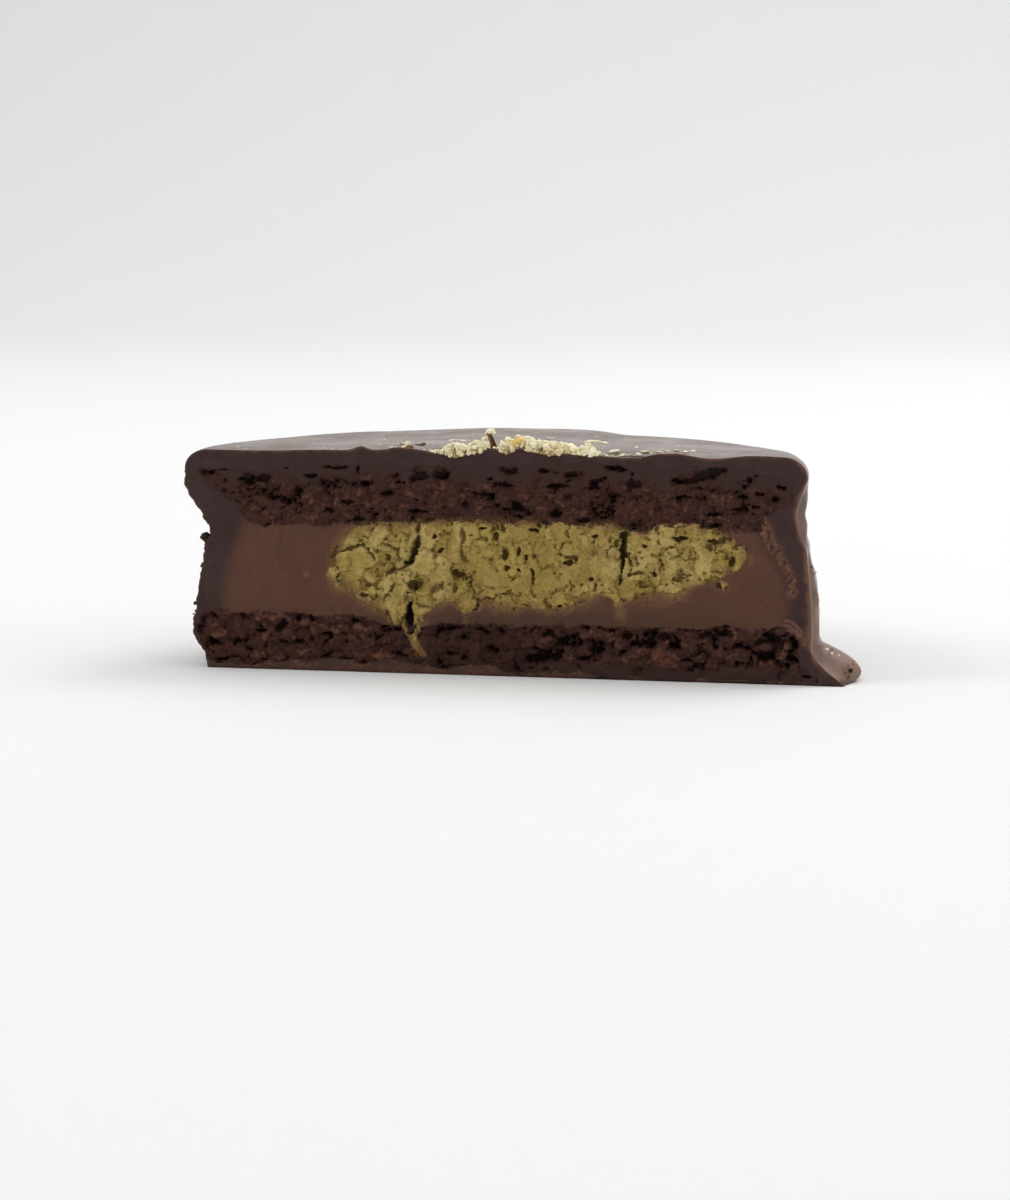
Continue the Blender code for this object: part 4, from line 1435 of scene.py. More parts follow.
@dataclass(frozen=True)
class Coat:
    """The chocolate coat: its outside, and the cut band that frames the layers.

    The outside is a grid of the angle round the axis and the way from under the base up
    the side, over the rim and in along the top.  The cut runs from its edge inwards in
    rings, and drops back behind the layers.
    """

    form: Form
    columns: int = 190
    evenness: float = 0.35
    base_rows: int = 60
    top_rows: int = 150
    rim_rows: int = 14
    band_rings: int = 40
    band_share: float = 0.25
    centre: tuple[float, float] = (0.0, 11.0)
    inner_rings: int = 7
    behind: float = 2.6
    edge_worn: float = 0.12
    edge_width: float = 1.2
    # The wall's left end is torn: how far it is jagged and how far round that reaches
    tear: float = 0.16
    tear_width: float = 0.7
    # How scuffed the right wall is beside the cut, with its light streaks and the bulge's highlight
    # painted in: (height, share)
    wall_scuff_and_highlight: Points = (
        (0.5, 1), (10, 1), (12, 0.4), (14.2, 0.4), (15.6, 0.9), (17.2, 0.8), (18.6, 0),
    )

    def wall_heights(self) -> Array:
        """Heights of the side's rows: close together round the foot's roll."""
        return np.concatenate([np.linspace(0.0, 4.4, 34)[1:], np.linspace(4.4, 20.1, 62)[1:]])

    def outside(self) -> tuple[Array, Array]:
        """The outside's grid, made of rows that each have a radius and a height.

        Returns:
            Points of rows from under the base to the top, and the axis points below and
            above.
        """
        form = self.form
        turn = np.linspace(0.0, 1.0, self.columns)
        angle = 180.0 * (self.evenness * turn + (1 - self.evenness) * (1 - np.cos(np.pi * turn)) / 2)
        way = np.stack([np.cos(np.radians(angle)), np.sin(np.radians(angle))])
        torn = np.exp(-np.radians(180 - angle) * form.radius / self.tear_width)
        level = np.zeros_like(angle)
        toe = form.side_radius(angle, level)
        rows = [(toe * share, level) for share in np.linspace(0.0, 1.0, self.base_rows + 1)[1:]]
        for height in self.wall_heights():
            at = height + level
            jag = self.tear * noise(level, at, 0.5, 171, 2)
            rows.append((form.side_radius(angle, at) + jag * torn, at))
        shoulder = form.side_radius(angle, form.shoulder + level)
        for lean in np.linspace(0.0, np.pi / 2, self.rim_rows + 1)[1:]:
            radius = shoulder - form.rim_inset * (1 - np.cos(lean))
            rise = (form.top_height(*(radius * way)) - form.shoulder) * np.sin(lean)
            rows.append((radius, form.shoulder + rise))
        for share in np.linspace(1.0, 0.0, self.top_rows + 1)[1:-1]:
            radius = (shoulder - form.rim_inset) * share
            rows.append((radius, form.top_height(*(radius * way))))
        grid = np.stack([np.stack([*(radius * way), height], axis=1) for radius, height in rows])
        axis = np.zeros((2, 3))
        axis[1, 2] = form.top_height(np.zeros(1), np.zeros(1))[0]
        for part in (grid, axis):
            worn = self.edge_relief(part[..., 0], part[..., 2])
            part[..., 1] += worn * np.exp(-part[..., 1] / self.edge_width)
        return grid, axis

    def edge_relief(self, x: Array, z: Array) -> Array:
        """How far the cut's sharp edge is worn back, in millimetres."""
        return self.edge_worn + 0.04 * noise(x, z, 1.2, 173, 2)

    def build(self, face: CutFace, place: Place, *finishes: Material) -> Piece:
        """Builds the coat's mesh.

        Args:
            face: The cut's description.
            place: Where the cookie stands.
            finishes: The materials of the skin and of the cut.

        Returns:
            The piece.
        """
        grid, axis = self.outside()
        count = grid.shape[0] * grid.shape[1]
        index = np.arange(count).reshape(grid.shape[:2])
        below, above = count, count + 1
        loop = np.concatenate([[below], index[:, 0], [above], index[::-1, -1]])
        skin = np.concatenate([grid.reshape(-1, 3), axis])
        edge = skin[loop][:, (0, 2)]
        to_centre = np.array(self.centre) - edge
        along = np.roll(edge, -1, axis=0) - np.roll(edge, 1, axis=0)
        normal = np.stack([-along[:, 1], along[:, 0]], axis=1)
        normal = normal / np.maximum(np.linalg.norm(normal, axis=1), 1e-6)[:, None]
        straight = np.abs((normal * to_centre).sum(axis=1))
        shares = np.linspace(0.0, 1.0, self.band_rings + 1)[1:] ** 1.15 * self.band_share
        inner = np.linspace(self.band_share, 1.0, self.inner_rings + 1)[1:-1]
        shares = np.concatenate([shares, inner])
        ring_x = edge[:, 0] + to_centre[:, 0] * shares[:, None]
        ring_z = edge[:, 1] + to_centre[:, 1] * shares[:, None]
        relief = face.relief(ring_x, ring_z)
        inside = relief["insides"][Layer.COAT]
        from_edge = straight * shares[:, None]
        worn = self.edge_worn * step(0.3, 0.0, from_edge)
        dive = self.behind * step(-0.1, -1.1, inside) + 0.3 * np.clip(-inside, 0, 1)
        ring_y = relief["depth"] + worn + dive
        rings = np.stack([ring_x, ring_y, ring_z], axis=-1)
        ring_index = count + 2 + np.arange(ring_x.size).reshape(ring_x.shape)
        centre = count + 2 + ring_x.size
        cut = np.concatenate([loop[None], ring_index])
        cut = np.concatenate([cut, cut[:, :1]], axis=1)
        middle = (self.centre[0], self.behind + 0.5, self.centre[1])
        points = np.concatenate([skin, rings.reshape(-1, 3), [middle]])
        quads = np.concatenate([grid_quads(index), grid_quads(cut)])
        fans = [fan(below, index[0]), fan(above, index[-1]), fan(centre, cut[-1])]
        # A lighter band painted along the cut's edge as a highlight, wider and ragged on the right
        wide = 0.13 + (0.08 + 0.15 * step(13.5, 11.5, ring_z)) * step(29.0, 30.0, ring_x)
        wide = wide * (1 + 0.7 * noise(ring_x, ring_z, 0.8, 179, 2))
        edge_highlight = np.exp(-((from_edge / wide) ** 2)) * step(0.6, 3.0, ring_z)
        edge_highlight = edge_highlight * (0.35 + 0.65 * step(-30.0, -24.0, ring_x))
        edge_highlight = edge_highlight * (0.7 + 0.3 * step(29.0, 30.0, ring_x))
        masks = {
            "edge": np.maximum(edge_highlight, relief["seam"]),
            "film": step(1.5, 0.6, ring_z) * step(0.0, 1.2, 33.0 - ring_x) * 0.8,
            "streak": relief["streak"],
            "melt": relief["cream_melt"],
        }
        values = {
            label: np.concatenate([np.zeros(count + 2), mask.ravel(), [0.0]])
            for label, mask in masks.items()
        }
        # The skin's rim along the cut gets the same painted highlight
        lit = step(0.6, 3.0, edge[:, 1]) * (0.35 + 0.65 * step(-30.0, -24.0, edge[:, 0]))
        values["edge"][loop] = lit
        out = np.hypot(points[:, 0], points[:, 1])
        # The foot's top and the wall beside the cut are painted lighter: scuffs, and painted highlights
        # in place of reflections
        spread = 0.6 + 0.5 * noise(points[:, 0], 0.6 * points[:, 2], 0.9, 177, y=points[:, 1])
        wall = step(26.0, 29.0, points[:, 0]) * step(3.0, 0.8, points[:, 1])
        wall = wall * curve_through(self.wall_scuff_and_highlight, points[:, 2])
        foot = step(31.9, 33.0, out) * step(9.0, 3.0, points[:, 1])
        scuff = np.maximum(1.4 * foot, wall) * step(0.1, 0.8, points[:, 2])
        spread = spread + (0.8 - spread) * 0.75 * foot
        values["scuff"] = 0.5 * np.clip(scuff * spread, 0, 1.6)
        outer = len(grid_quads(index))
        sides = [outer, len(quads) - outer, len(fans[0]) + len(fans[1]), len(fans[2])]
        chosen = np.repeat([0, 1, 0, 1], sides)
        faces = (quads, np.concatenate(fans))
        return solid("coat", place.to_row(points), *faces, values, *finishes, finishes=chosen)


@dataclass
class Bits:
    """Loose bits: middles, half sizes and looks, gathered before they are made one mesh."""

    middles: list[tuple[float, float, float]] = field(default_factory=list)
    halves: list[tuple[float, float, float]] = field(default_factory=list)
    tones: list[float] = field(default_factory=list)
    golden: list[float] = field(default_factory=list)
    tilts: list[float] = field(default_factory=list)

    def add(
        self, middle: tuple, half: tuple, tone: float, golden: float = 0.0, tilt: float = 3.2
    ) -> None:
        """Adds one bit; a small tilt, in radians, also keeps its length along x."""
        self.middles.append(middle)
        self.halves.append(half)
        self.tones.append(tone)
        self.golden.append(golden)
        self.tilts.append(tilt)


@dataclass(frozen=True)
class BitMaker:
    """Turns gathered bits into one mesh of small rough lumps.

    Each bit is a sphere on a grid of turns and tiers, swollen by noise, shaved flat by
    random planes, stretched to its half sizes, leaned and turned.
    """

    tiers: int = 6
    turns: int = 9
    swell: float = 0.3
    knobs: float = 0.16
    shaves: int = 6
    fuzz: float = 0.0

    def sphere(self) -> tuple[Array, Array, Array]:
        """Directions of the sphere's vertices, its quads and its triangles."""
        tilt = np.pi * np.arange(1, self.tiers + 1) / (self.tiers + 1)
        turn = 2 * np.pi * np.arange(self.turns) / self.turns
        tilt, turn = np.meshgrid(tilt, turn, indexing="ij")
        rings = np.stack([np.sin(tilt) * np.cos(turn), np.sin(tilt) * np.sin(turn), np.cos(tilt)], -1)
        points = np.concatenate([rings.reshape(-1, 3), [[0.0, 0.0, 1.0], [0.0, 0.0, -1.0]]])
        index = np.arange(self.tiers * self.turns).reshape(self.tiers, self.turns)
        closed = np.concatenate([index, index[:, :1]], axis=1)
        caps = [fan(index.size, closed[0]), fan(index.size + 1, closed[-1])]
        return points, grid_quads(closed), np.concatenate(caps)

    def build(
        self, name: str, bits: Bits, place: Place, material: Material, seed: int
    ) -> Piece:
        """Builds the mesh.

        Args:
            name: The piece's name.
            bits: The gathered bits.
            place: Where the cookie stands.
            material: The bits' material.
            seed: Picks the bits' shapes.

        Returns:
            The piece.
        """
        rng = np.random.default_rng(seed)
        way, quads, triangles = self.sphere()
        count = len(bits.middles)
        offset = rng.uniform(0, 60, (count, 3, 1))
        bumps, knobs, fuzz = (
            value_noise(*(way[None, :, axis] * fine + offset[:, axis] for axis in range(3)), part)
            for part, fine in enumerate((1.3, 2.7, 6.0), seed)
        )
        radius = 1 + self.swell * bumps + self.knobs * knobs + self.fuzz * fuzz
        points = way[None] * radius[..., None]
        for _ in range(self.shaves):
            normal = rng.normal(size=(count, 1, 3))
            normal /= np.linalg.norm(normal, axis=-1, keepdims=True)
            over = (points * normal).sum(-1) - rng.uniform(0.62, 1.0, (count, 1))
            points = points - np.maximum(over, 0)[..., None] * normal
        points = points * np.array(bits.halves)[:, None, :]
        tilts = np.array(bits.tilts)
        lean = rng.uniform(-1, 1, count) * np.minimum(tilts, np.pi)
        roll = rng.uniform(-1, 1, count) * np.minimum(tilts, np.pi)
        turn = rng.uniform(0, 2 * np.pi, count) * np.where(tilts < 0.5, 0.08, 1.0)
        for angle, first, second in ((lean, 1, 2), (roll, 2, 0), (turn, 0, 1)):
            cos, sin = np.cos(angle)[:, None], np.sin(angle)[:, None]
            one, two = points[..., first].copy(), points[..., second].copy()
            points[..., first] = cos * one - sin * two
            points[..., second] = sin * one + cos * two
        points = points + np.array(bits.middles)[:, None, :]
        shift = (np.arange(count) * len(way))[:, None, None]
        # Where a bit's surface sinks in, its tone is painted darker as shade, and lighter where it
        # bulges
        tone = np.array(bits.tones)[:, None] + 0.35 * knobs + 0.25 * bumps
        values = {
            "tone": np.clip(tone, 0, 1).ravel(),
            "golden": np.repeat(np.array(bits.golden), len(way)),
        }
        faces = [(each[None] + shift).reshape(-1, each.shape[1]) for each in (quads, triangles)]
        return solid(name, place.to_row(points.reshape(-1, 3)), *faces, values, material)


@dataclass(frozen=True)
class NutCrumbs:
    """The heap of chopped nuts beside the cut, and the crumbs that rolled off it.

    The skyline is (x, z), strays are (x, y, size) and flakes are (x, y, lift, length,
    width, thickness).  Bits are dropped one by one onto a map of heights, so they lie on
    each other, and none is kept that would stand above the skyline.
    """

    form: Form
    skyline: Points = (
        (-9.3, 22.3), (-9, 22.9), (-8.6, 23.1), (-8.2, 23), (-7.9, 22.2), (-6.6, 22.4), (-5.2, 22.5),
        (-4.6, 22.9), (-3.9, 23.2), (-3.1, 23.1), (-2.7, 22.8), (-2.3, 23.1), (-1.6, 23.45),
        (-0.9, 23.4), (-0.4, 23), (0.5, 22.8), (0.9, 23.3), (1.3, 23.2), (1.45, 23.8), (1.65, 23.7),
        (1.9, 23.2), (2.3, 23.8), (3, 23.95), (3.6, 23.8), (4.3, 23.5), (5.2, 23.6), (6.2, 23.45),
        (7.2, 23.35), (8, 23), (8.5, 22.7), (8.8, 23.1), (9.4, 23), (9.8, 22.6), (10.6, 22.5),
        (11.2, 22.3),
    )
    run: tuple[float, float] = (-6.2, 10.6)
    # Lumps and grains: how many are dropped, and their least and greatest width
    kinds: Points = ((760, 0.3, 0.86), (3600, 0.1, 0.26))
    # The golden crumbs' middle: (x, y, half width)
    golden: tuple[float, float, float] = (2.6, 0.5, 0.75)
    strays: Points = (
        (11.6, 3.6, 0.95), (12.7, 2, 0.6), (13.3, 2.6, 0.35), (14.1, 3.3, 0.6), (14.5, 4.8, 0.7),
        (15.2, 4.2, 0.3), (16, 5.1, 0.6), (16.6, 6, 0.42), (17.6, 6.2, 0.6), (18.6, 5, 0.55),
        (19.1, 6.5, 0.4), (20.6, 5.6, 0.28), (-10.6, 2.1, 0.4), (-28.2, 7.6, 0.28), (-26.3, 2.2, 0.3),
        (-25.4, 1.2, 0.22), (-16.2, 0.35, 0.22), (-15.4, 0.5, 0.18), (-12.6, 6, 0.25),
        (-7.6, 5.2, 0.35), (0.2, 6.8, 0.4), (5.4, 7.5, 0.3), (9.2, 6.4, 0.35), (13, 9.5, 0.3),
        (-3.2, 9.6, 0.3), (-14, 13.5, 0.25), (7, 22, 0.3), (-6, 21, 0.25), (16.5, 15, 0.25),
        (-6.6, 12.2, 0.5), (-6.2, 12.6, 0.5), (-5.8, 12.1, 0.45), (-5.45, 12.5, 0.4),
        (-5.05, 12.2, 0.3), (-4.75, 12.6, 0.2), (2.7, 17.3, 0.4), (3.05, 17.6, 0.35),
        (-8.8, 0.6, 0.75), (-8.4, 0.5, 0.5), (-9, 0.4, 0.3), (-6.9, 0.5, 0.3), (11.3, 0.8, 0.3),
        (11.8, 1.4, 0.25), (12.2, 0.7, 0.2), (10.9, 1.6, 0.4), (13.6, 1.2, 0.2),
    )
    flakes: Points = (
        (9.4, 2.2, 1, 1.1, 0.8, 0.3), (10.1, 2.4, 1.08, 1.2, 0.7, 0.26), (10.8, 2.6, 1, 0.8, 0.5, 0.2),
        (9.3, 2.3, 0.35, 0.8, 0.7, 0.7), (-9.9, 4.2, 0.1, 0.6, 0.4, 0.2),
    )
    # Bits round the stalk's head, the spike and the golden lump: middle, half sizes, gold
    perched: Points = (
        (-0.4, 0.6, 24.24, 0.32, 0.28, 0.26, 0), (0, 0.65, 24.2, 0.28, 0.26, 0.22, 0),
        (-0.62, 0.65, 24.03, 0.17, 0.2, 0.18, 0), (0.8, 0.9, 23, 0.24, 0.2, 0.3, 0),
        (-0.85, 0.9, 23.5, 0.34, 0.26, 0.2, 0), (-0.1, 0.7, 24.42, 0.2, 0.2, 0.12, 0),
        (1.43, 0.7, 23.5, 0.17, 0.2, 0.32, 0), (2.2, 0.15, 23.24, 0.34, 0.3, 0.34, 0.85),
        (2.72, 0.15, 23.44, 0.44, 0.3, 0.32, 1), (2.5, 0.2, 23.06, 0.32, 0.25, 0.24, 0.6),
        (3.25, 0.65, 23.4, 0.45, 0.4, 0.34, 0.4), (2.6, 0.85, 23.74, 0.5, 0.3, 0.18, 0.1),
        (3.4, 0.8, 23.66, 0.55, 0.3, 0.2, 0.1), (-8.55, 0.5, 22.92, 0.34, 0.3, 0.3, 0),
        # The three small pale bits on the foot stand in for glints: painted highlights
        (32.95, 1.5, 3.45, 0.16, 0.12, 0.12, 0), (33.45, 1.7, 3.05, 0.12, 0.1, 0.16, 0),
        (34.1, 1.9, 2.8, 0.12, 0.1, 0.08, 0), (9.5, 0.8, 22.95, 0.3, 0.3, 0.4, 0),
        (9.9, 0.7, 22.65, 0.34, 0.3, 0.3, 0),
    )
    # Brown chunks caught at the edge: middle, half sizes and tone
    chunks: Points = (
        (1.5, 0.22, 22.5, 0.5, 0.25, 0.24, 1), (1.95, 0.3, 22.62, 0.3, 0.22, 0.18, 0.8),
        (3.7, 0.2, 22.5, 0.6, 0.22, 0.16, 0.75), (3.2, 0.3, 22.72, 0.32, 0.25, 0.2, 0.6),
        (-8.2, 0.2, 22.62, 0.4, 0.2, 0.18, 0.6), (-7.4, 0.45, 22.86, 0.44, 0.16, 0.09, 0.55),
        (-6.95, 0.45, 22.9, 0.26, 0.16, 0.17, 0.5),
    )
    # The map of heights: its pitch, where it begins and where it ends, as (x, y)
    pitch: float = 0.1
    map_from: tuple[float, float] = (-31.0, -0.4)
    map_to: tuple[float, float] = (31.0, 30.0)
    lump_maker: BitMaker = BitMaker(tiers=10, turns=13, swell=0.34, knobs=0.28, shaves=4, fuzz=0.26)
    grain_maker: BitMaker = BitMaker(tiers=4, turns=6, swell=0.36, knobs=0.26, shaves=4)
    brown_maker: BitMaker = BitMaker(tiers=8, turns=12, swell=0.3, knobs=0.3, shaves=3)
    husk: ShardFinish = ShardFinish("husk", shade(66, 38, 22), shade(158, 114, 50))

    def reach_back(self, x: Array) -> Array:
        """How far back from the cut the heap lies: deepest in its middle, with an uneven rim."""
        deep = 1.3 + 2.4 * step(-6.0, 1.0, x) * step(11.0, 4.0, x)
        return deep * (1 + 0.4 * noise(x, 0 * x, 2.4, 201))

    def bed_height(self, x: Array, y: Array) -> Array:
        """Top of the heap's core: an arch across the run, up to just below the skyline.

        Args:
            x, y: Places on the top, in millimetres.

        Returns:
            Heights in millimetres; a little under the coat's top outside the heap.
        """
        top = self.form.top_height(x, y)
        arch = np.sin(np.pi * np.clip((y - 0.2) / self.reach_back(x), 0.0, 1.0)) ** 0.6
        room = np.clip(np.interp(x, *np.array(self.skyline).T) - 0.75 - top, 0.0, 1.6)
        ends = step(self.run[0], -5.0, x) * step(self.run[1], 9.4, x)
        knobs = 0.85 + 0.4 * (0.6 - Crumbs.over(x, y, 0.5, 205).near)
        return top + arch * ends * (room * knobs + 0.05) - 0.06

    def drop(self, rng: np.random.Generator) -> tuple[Bits, Bits]:
        """Drops the lumps and then the grains onto the heap's core and onto each other.

        Args:
            rng: Source of the random places and sizes.

        Returns:
            The larger lumps and the fine grains.
        """
        along, back = (
            np.arange(first, last, self.pitch) for first, last in zip(self.map_from, self.map_to)
        )
        ground = np.meshgrid(along, back, indexing="ij")
        heights = np.maximum(self.form.top_height(*ground), self.bed_height(*ground))
        depths = self.reach_back(along)
        gathered = (Bits(), Bits())
        for bits, (many, least, greatest) in zip(gathered, self.kinds):
            for _ in range(int(many)):
                x = rng.uniform(*self.run)
                thrown = 1.0 + 2.0 * rng.uniform() ** 12
                y = 0.02 + np.interp(x, along, depths) * thrown * rng.uniform() ** 1.2
                width = least + (greatest - least) * rng.uniform() ** 1.5
                if x < -4.8 and (rng.uniform() < 0.5 or y > 1.0):
                    continue
                ceiling = np.interp(x, *np.array(self.skyline).T) - 0.12 * y - 0.38 * width
                middle = self.settle(heights, x, y, width / 2, ceiling)
                if middle > ceiling:
                    continue
                away = math.hypot(x - self.golden[0], y - self.golden[1]) / self.golden[2]
                gold = 0.9 * math.exp(-(away**2)) * rng.uniform(0.4, 1)
                half = tuple(width / 2 * rng.uniform(0.75, 1.2, 3))
                # Crumbs lying deeper under the skyline are painted darker, as shade in the heap
                tone = rng.uniform(0.55, 1.0) - 0.7 * max(ceiling - middle - 0.15, 0.0)
                bits.add((x, y, middle), half, tone, gold * step(22.4, 22.9, middle))
        lumps, grains = gathered
        for x, y, size in self.strays:
            middle = self.settle(heights, x, y, size * 0.2, 99.0) - 0.1 * size
            half = (size * 0.66, size * 0.5, size * 0.24)
            (lumps if size > 0.5 else grains).add((x, y, middle), half, rng.uniform(0.8, 1.0), 0, 0.25)
            for dust in rng.uniform(0.04, 0.11, int(3 * size + 0.6)):
                spot = (x + rng.normal(0, 0.9), y + abs(rng.normal(0, 1.1)))
                top = float(self.form.top_height(*np.array(spot)))
                grains.add((*spot, top + 0.3 * dust), (dust, dust, 0.6 * dust), 0.9, 0, 0.3)
        for x, y, lift, length, width, thick in self.flakes:
            middle = float(self.form.top_height(*np.array([x, y]))) + lift + thick / 3
            lumps.add((x, y, middle), (length / 2, width / 2, thick / 2), 1.2, 0, 0.2)
        for *middle, wide, deep, tall, gold in self.perched:
            lumps.add(tuple(middle), (wide, deep, tall), 0.85, gold, 0.3)
        return lumps, grains

    def settle(self, heights: Array, x: float, y: float, radius: float, ceiling: float) -> float:
        """Height at which a bit comes to rest, and the map raised to its new top.

        Args:
            heights: The map of heights, which is changed if the bit stays.
            x, y: The bit's place.
            radius: Half its size.
            ceiling: The bit stays only if its middle is no higher.

        Returns:
            The height of its middle.
        """
        reach = max(int(radius / self.pitch), 1)
        column = int((x - self.map_from[0]) / self.pitch)
        row = max(int((y - self.map_from[1]) / self.pitch), reach)
        window = heights[column - reach : column + reach + 1, row - reach : row + reach + 1]
        across = np.arange(-reach, reach + 1) * self.pitch
        distance = np.hypot(across[:, None], across[None, : window.shape[1]])
        rise = np.sqrt(np.clip(radius**2 - distance**2, 0, None))
        middle = float(np.percentile(window[distance < radius * 0.75], 60)) + 0.6 * radius
        if middle <= ceiling:
            top = np.where(distance < radius, middle + 0.75 * rise, -np.inf)
            np.maximum(window, top, out=window)
        return middle

    def build(self, place: Place, material: Material, dark: Material) -> list:
        """Builds the heap's core, its lumps and grains, the stalk and the brown bits.

        Args:
            place: Where the cookie stands.
            material: The crumbs' material.
            dark: The dark bits' material.

        Returns:
            The pale pieces first, then the dark ones.
        """
        lumps, grains = self.drop(np.random.default_rng(7))
        brown = Bits()
        for *middle, wide, deep, tall, tone in self.chunks:
            brown.add(tuple(middle), (wide, deep, tall), tone, 0, 0.3)
        return [
            self.bed(place, material),
            self.lump_maker.build("nut_lumps", lumps, place, material, 11),
            self.grain_maker.build("nut_grains", grains, place, material, 12),
            self.stalk(place, self.husk.build()),
            self.brown_maker.build("brown_bits", brown, place, dark, 13),
        ]

    def bed(self, place: Place, material: Material) -> Piece:
        """The heap's core: a low knobbly ridge that the loose crumbs hide.

        Args:
            place: Where the cookie stands.
            material: The crumbs' material.

        Returns:
            The piece.
        """
        x, y = np.meshgrid(np.linspace(*self.run, 190), np.linspace(0.2, 5.6, 56), indexing="ij")
        upper = np.stack([x, y, self.bed_height(x, y)], -1)
        lower = np.stack([x, y, self.form.top_height(x, y) - 0.25], -1)[:, ::-1]
        loop = np.concatenate([upper, lower], axis=1)
        # The bed is painted dark, as shade between the crumbs above it
        look = 0.1 + 0.4 * Crumbs.over(loop[..., 0], loop[..., 1], 0.5, 205).tone
        return rod("nut_bed", loop, {"tone": look, "golden": 0 * look}, place, material)

    def stalk(self, place: Place, material: Material) -> Piece:
        """The brown splinter that leans up from the edge: a tapered, knobbly rod.

        A ring is carried up a line that curves to the left; its radius shrinks upwards
        and wanders with noise.

        Args:
            place: Where the cookie stands.
            material: The dark bits' material.

        Returns:
            The piece.
        """
        share = np.linspace(0.0, 1.0, 24)[:, None]
        turn = np.linspace(0.0, 2 * np.pi, 15)[None, :-1]
        radius = 0.46 - 0.45 * share + 0.25 * share**2
        radius = radius + 0.04 * value_noise(share * 7, turn, 0 * share, 211)
        radius = radius * np.where(share < 0.96, 1.0, 0.5)
        x = 0.25 - 0.35 * share - 0.35 * share**3 + radius * np.cos(turn)
        y = 0.4 + 0.15 * share + 0.7 * radius * np.sin(turn)
        loop = np.stack([x, y, self.form.height + 1.9 * share + 0 * turn], -1)
        # The stalk's right side is painted darker and its left lighter, as if lit from the left
        tone = 0.1 + 0.4 * share - 0.25 * np.cos(turn)
        tone = tone + 0.25 * value_noise(share * 9, turn * 2, 0 * share, 213)
        return rod("stalk", loop, {"tone": np.clip(tone, 0, 1)}, place, material)


@dataclass(frozen=True)
class DarkCrumbs:
    """Bits of coat and biscuit: at the torn left edge, round the base and on the foot.

    Shards are (x, y, z, size, tone) and the base's bits are scattered round the rim.
    """

    form: Form
    shards: Points = (
        (-29.35, 0.5, 15.25, 0.75, 0.1), (-29.1, 0.5, 14.7, 0.5, 0.1), (-29.4, 0.5, 13.2, 1.05, 0.1),
        (-29.25, 0.5, 12.6, 0.7, 0.1), (-29.4, 0.5, 12.1, 0.5, 0.2), (-29.35, 0.5, 11.5, 0.7, 0.15),
        (-29.75, 0.5, 10.4, 0.5, 0.25), (-29.6, 0.5, 9.8, 0.5, 0.2), (-30.55, 0.5, 6.5, 0.6, 0.15),
        (-30.5, 0.5, 5.6, 0.45, 0.2), (-30.45, 0.5, 3.6, 0.45, 0.3), (-29.95, 0.5, 2.6, 0.5, 0.1),
        (-29.4, 0.5, 1.2, 0.5, 0.2), (-29.2, 0.4, 0.5, 0.45, 0.35),
        (31.45, 0.7, 11.6, 0.28, 1), (31.65, 0.7, 10.9, 0.32, 1), (31.9, 0.8, 9, 0.24, 1),
        (33.4, 2.2, 3.3, 0.3, 1.2), (35.3, 2, 1.3, 0.45, 0), (35.05, 1.8, 1.85, 0.32, 1),
        (35.5, 2.3, 1.95, 0.3, 1), (34.95, 1.6, 1.2, 0.28, 0.9), (35.2, 1.7, 0.8, 0.3, 0.8),
        (-12.6, 27.4, 2.3, 1.5, 0.5),
    )
    around_base: int = 150
    maker: BitMaker = BitMaker(tiers=5, turns=7, swell=0.3, knobs=0.2, shaves=5)

    def build(self, place: Place, material: Material) -> Piece:
        """Gathers the shards and scatters the base's bits."""
        rng = np.random.default_rng(21)
        bits = Bits()
        for x, y, z, size, tone in self.shards:
            bits.add((x, y, z), tuple(size / 2 * rng.uniform(0.8, 1.2, 3)), tone)
            # A smaller bit clings to each shard
            nudge = rng.uniform(-0.25, 0.25, 3)
            near = (x + nudge[0], max(y + nudge[1], 0.2), max(z + nudge[2], 0.3))
            bits.add(near, (size * 0.28, size * 0.24, size * 0.24), tone + 0.2)
        angle = rng.uniform(24, 178, self.around_base)
        height = rng.uniform(0.1, 0.55, self.around_base)
        radius = self.form.side_radius(angle, height) + rng.uniform(-0.12, 0.02, self.around_base)
        size = 0.22 + 0.5 * rng.uniform(0, 1, self.around_base) ** 3
        for turn, out, up, wide in zip(np.radians(angle), radius, height, size):
            half = tuple(wide / 2 * rng.uniform(0.7, 1.2, 3))
            middle = (out * math.cos(turn), out * math.sin(turn), max(up, wide * 0.8))
            bits.add(middle, half, rng.uniform(0.1, 0.9))
        return self.maker.build("dark_bits", bits, place, material, 22)


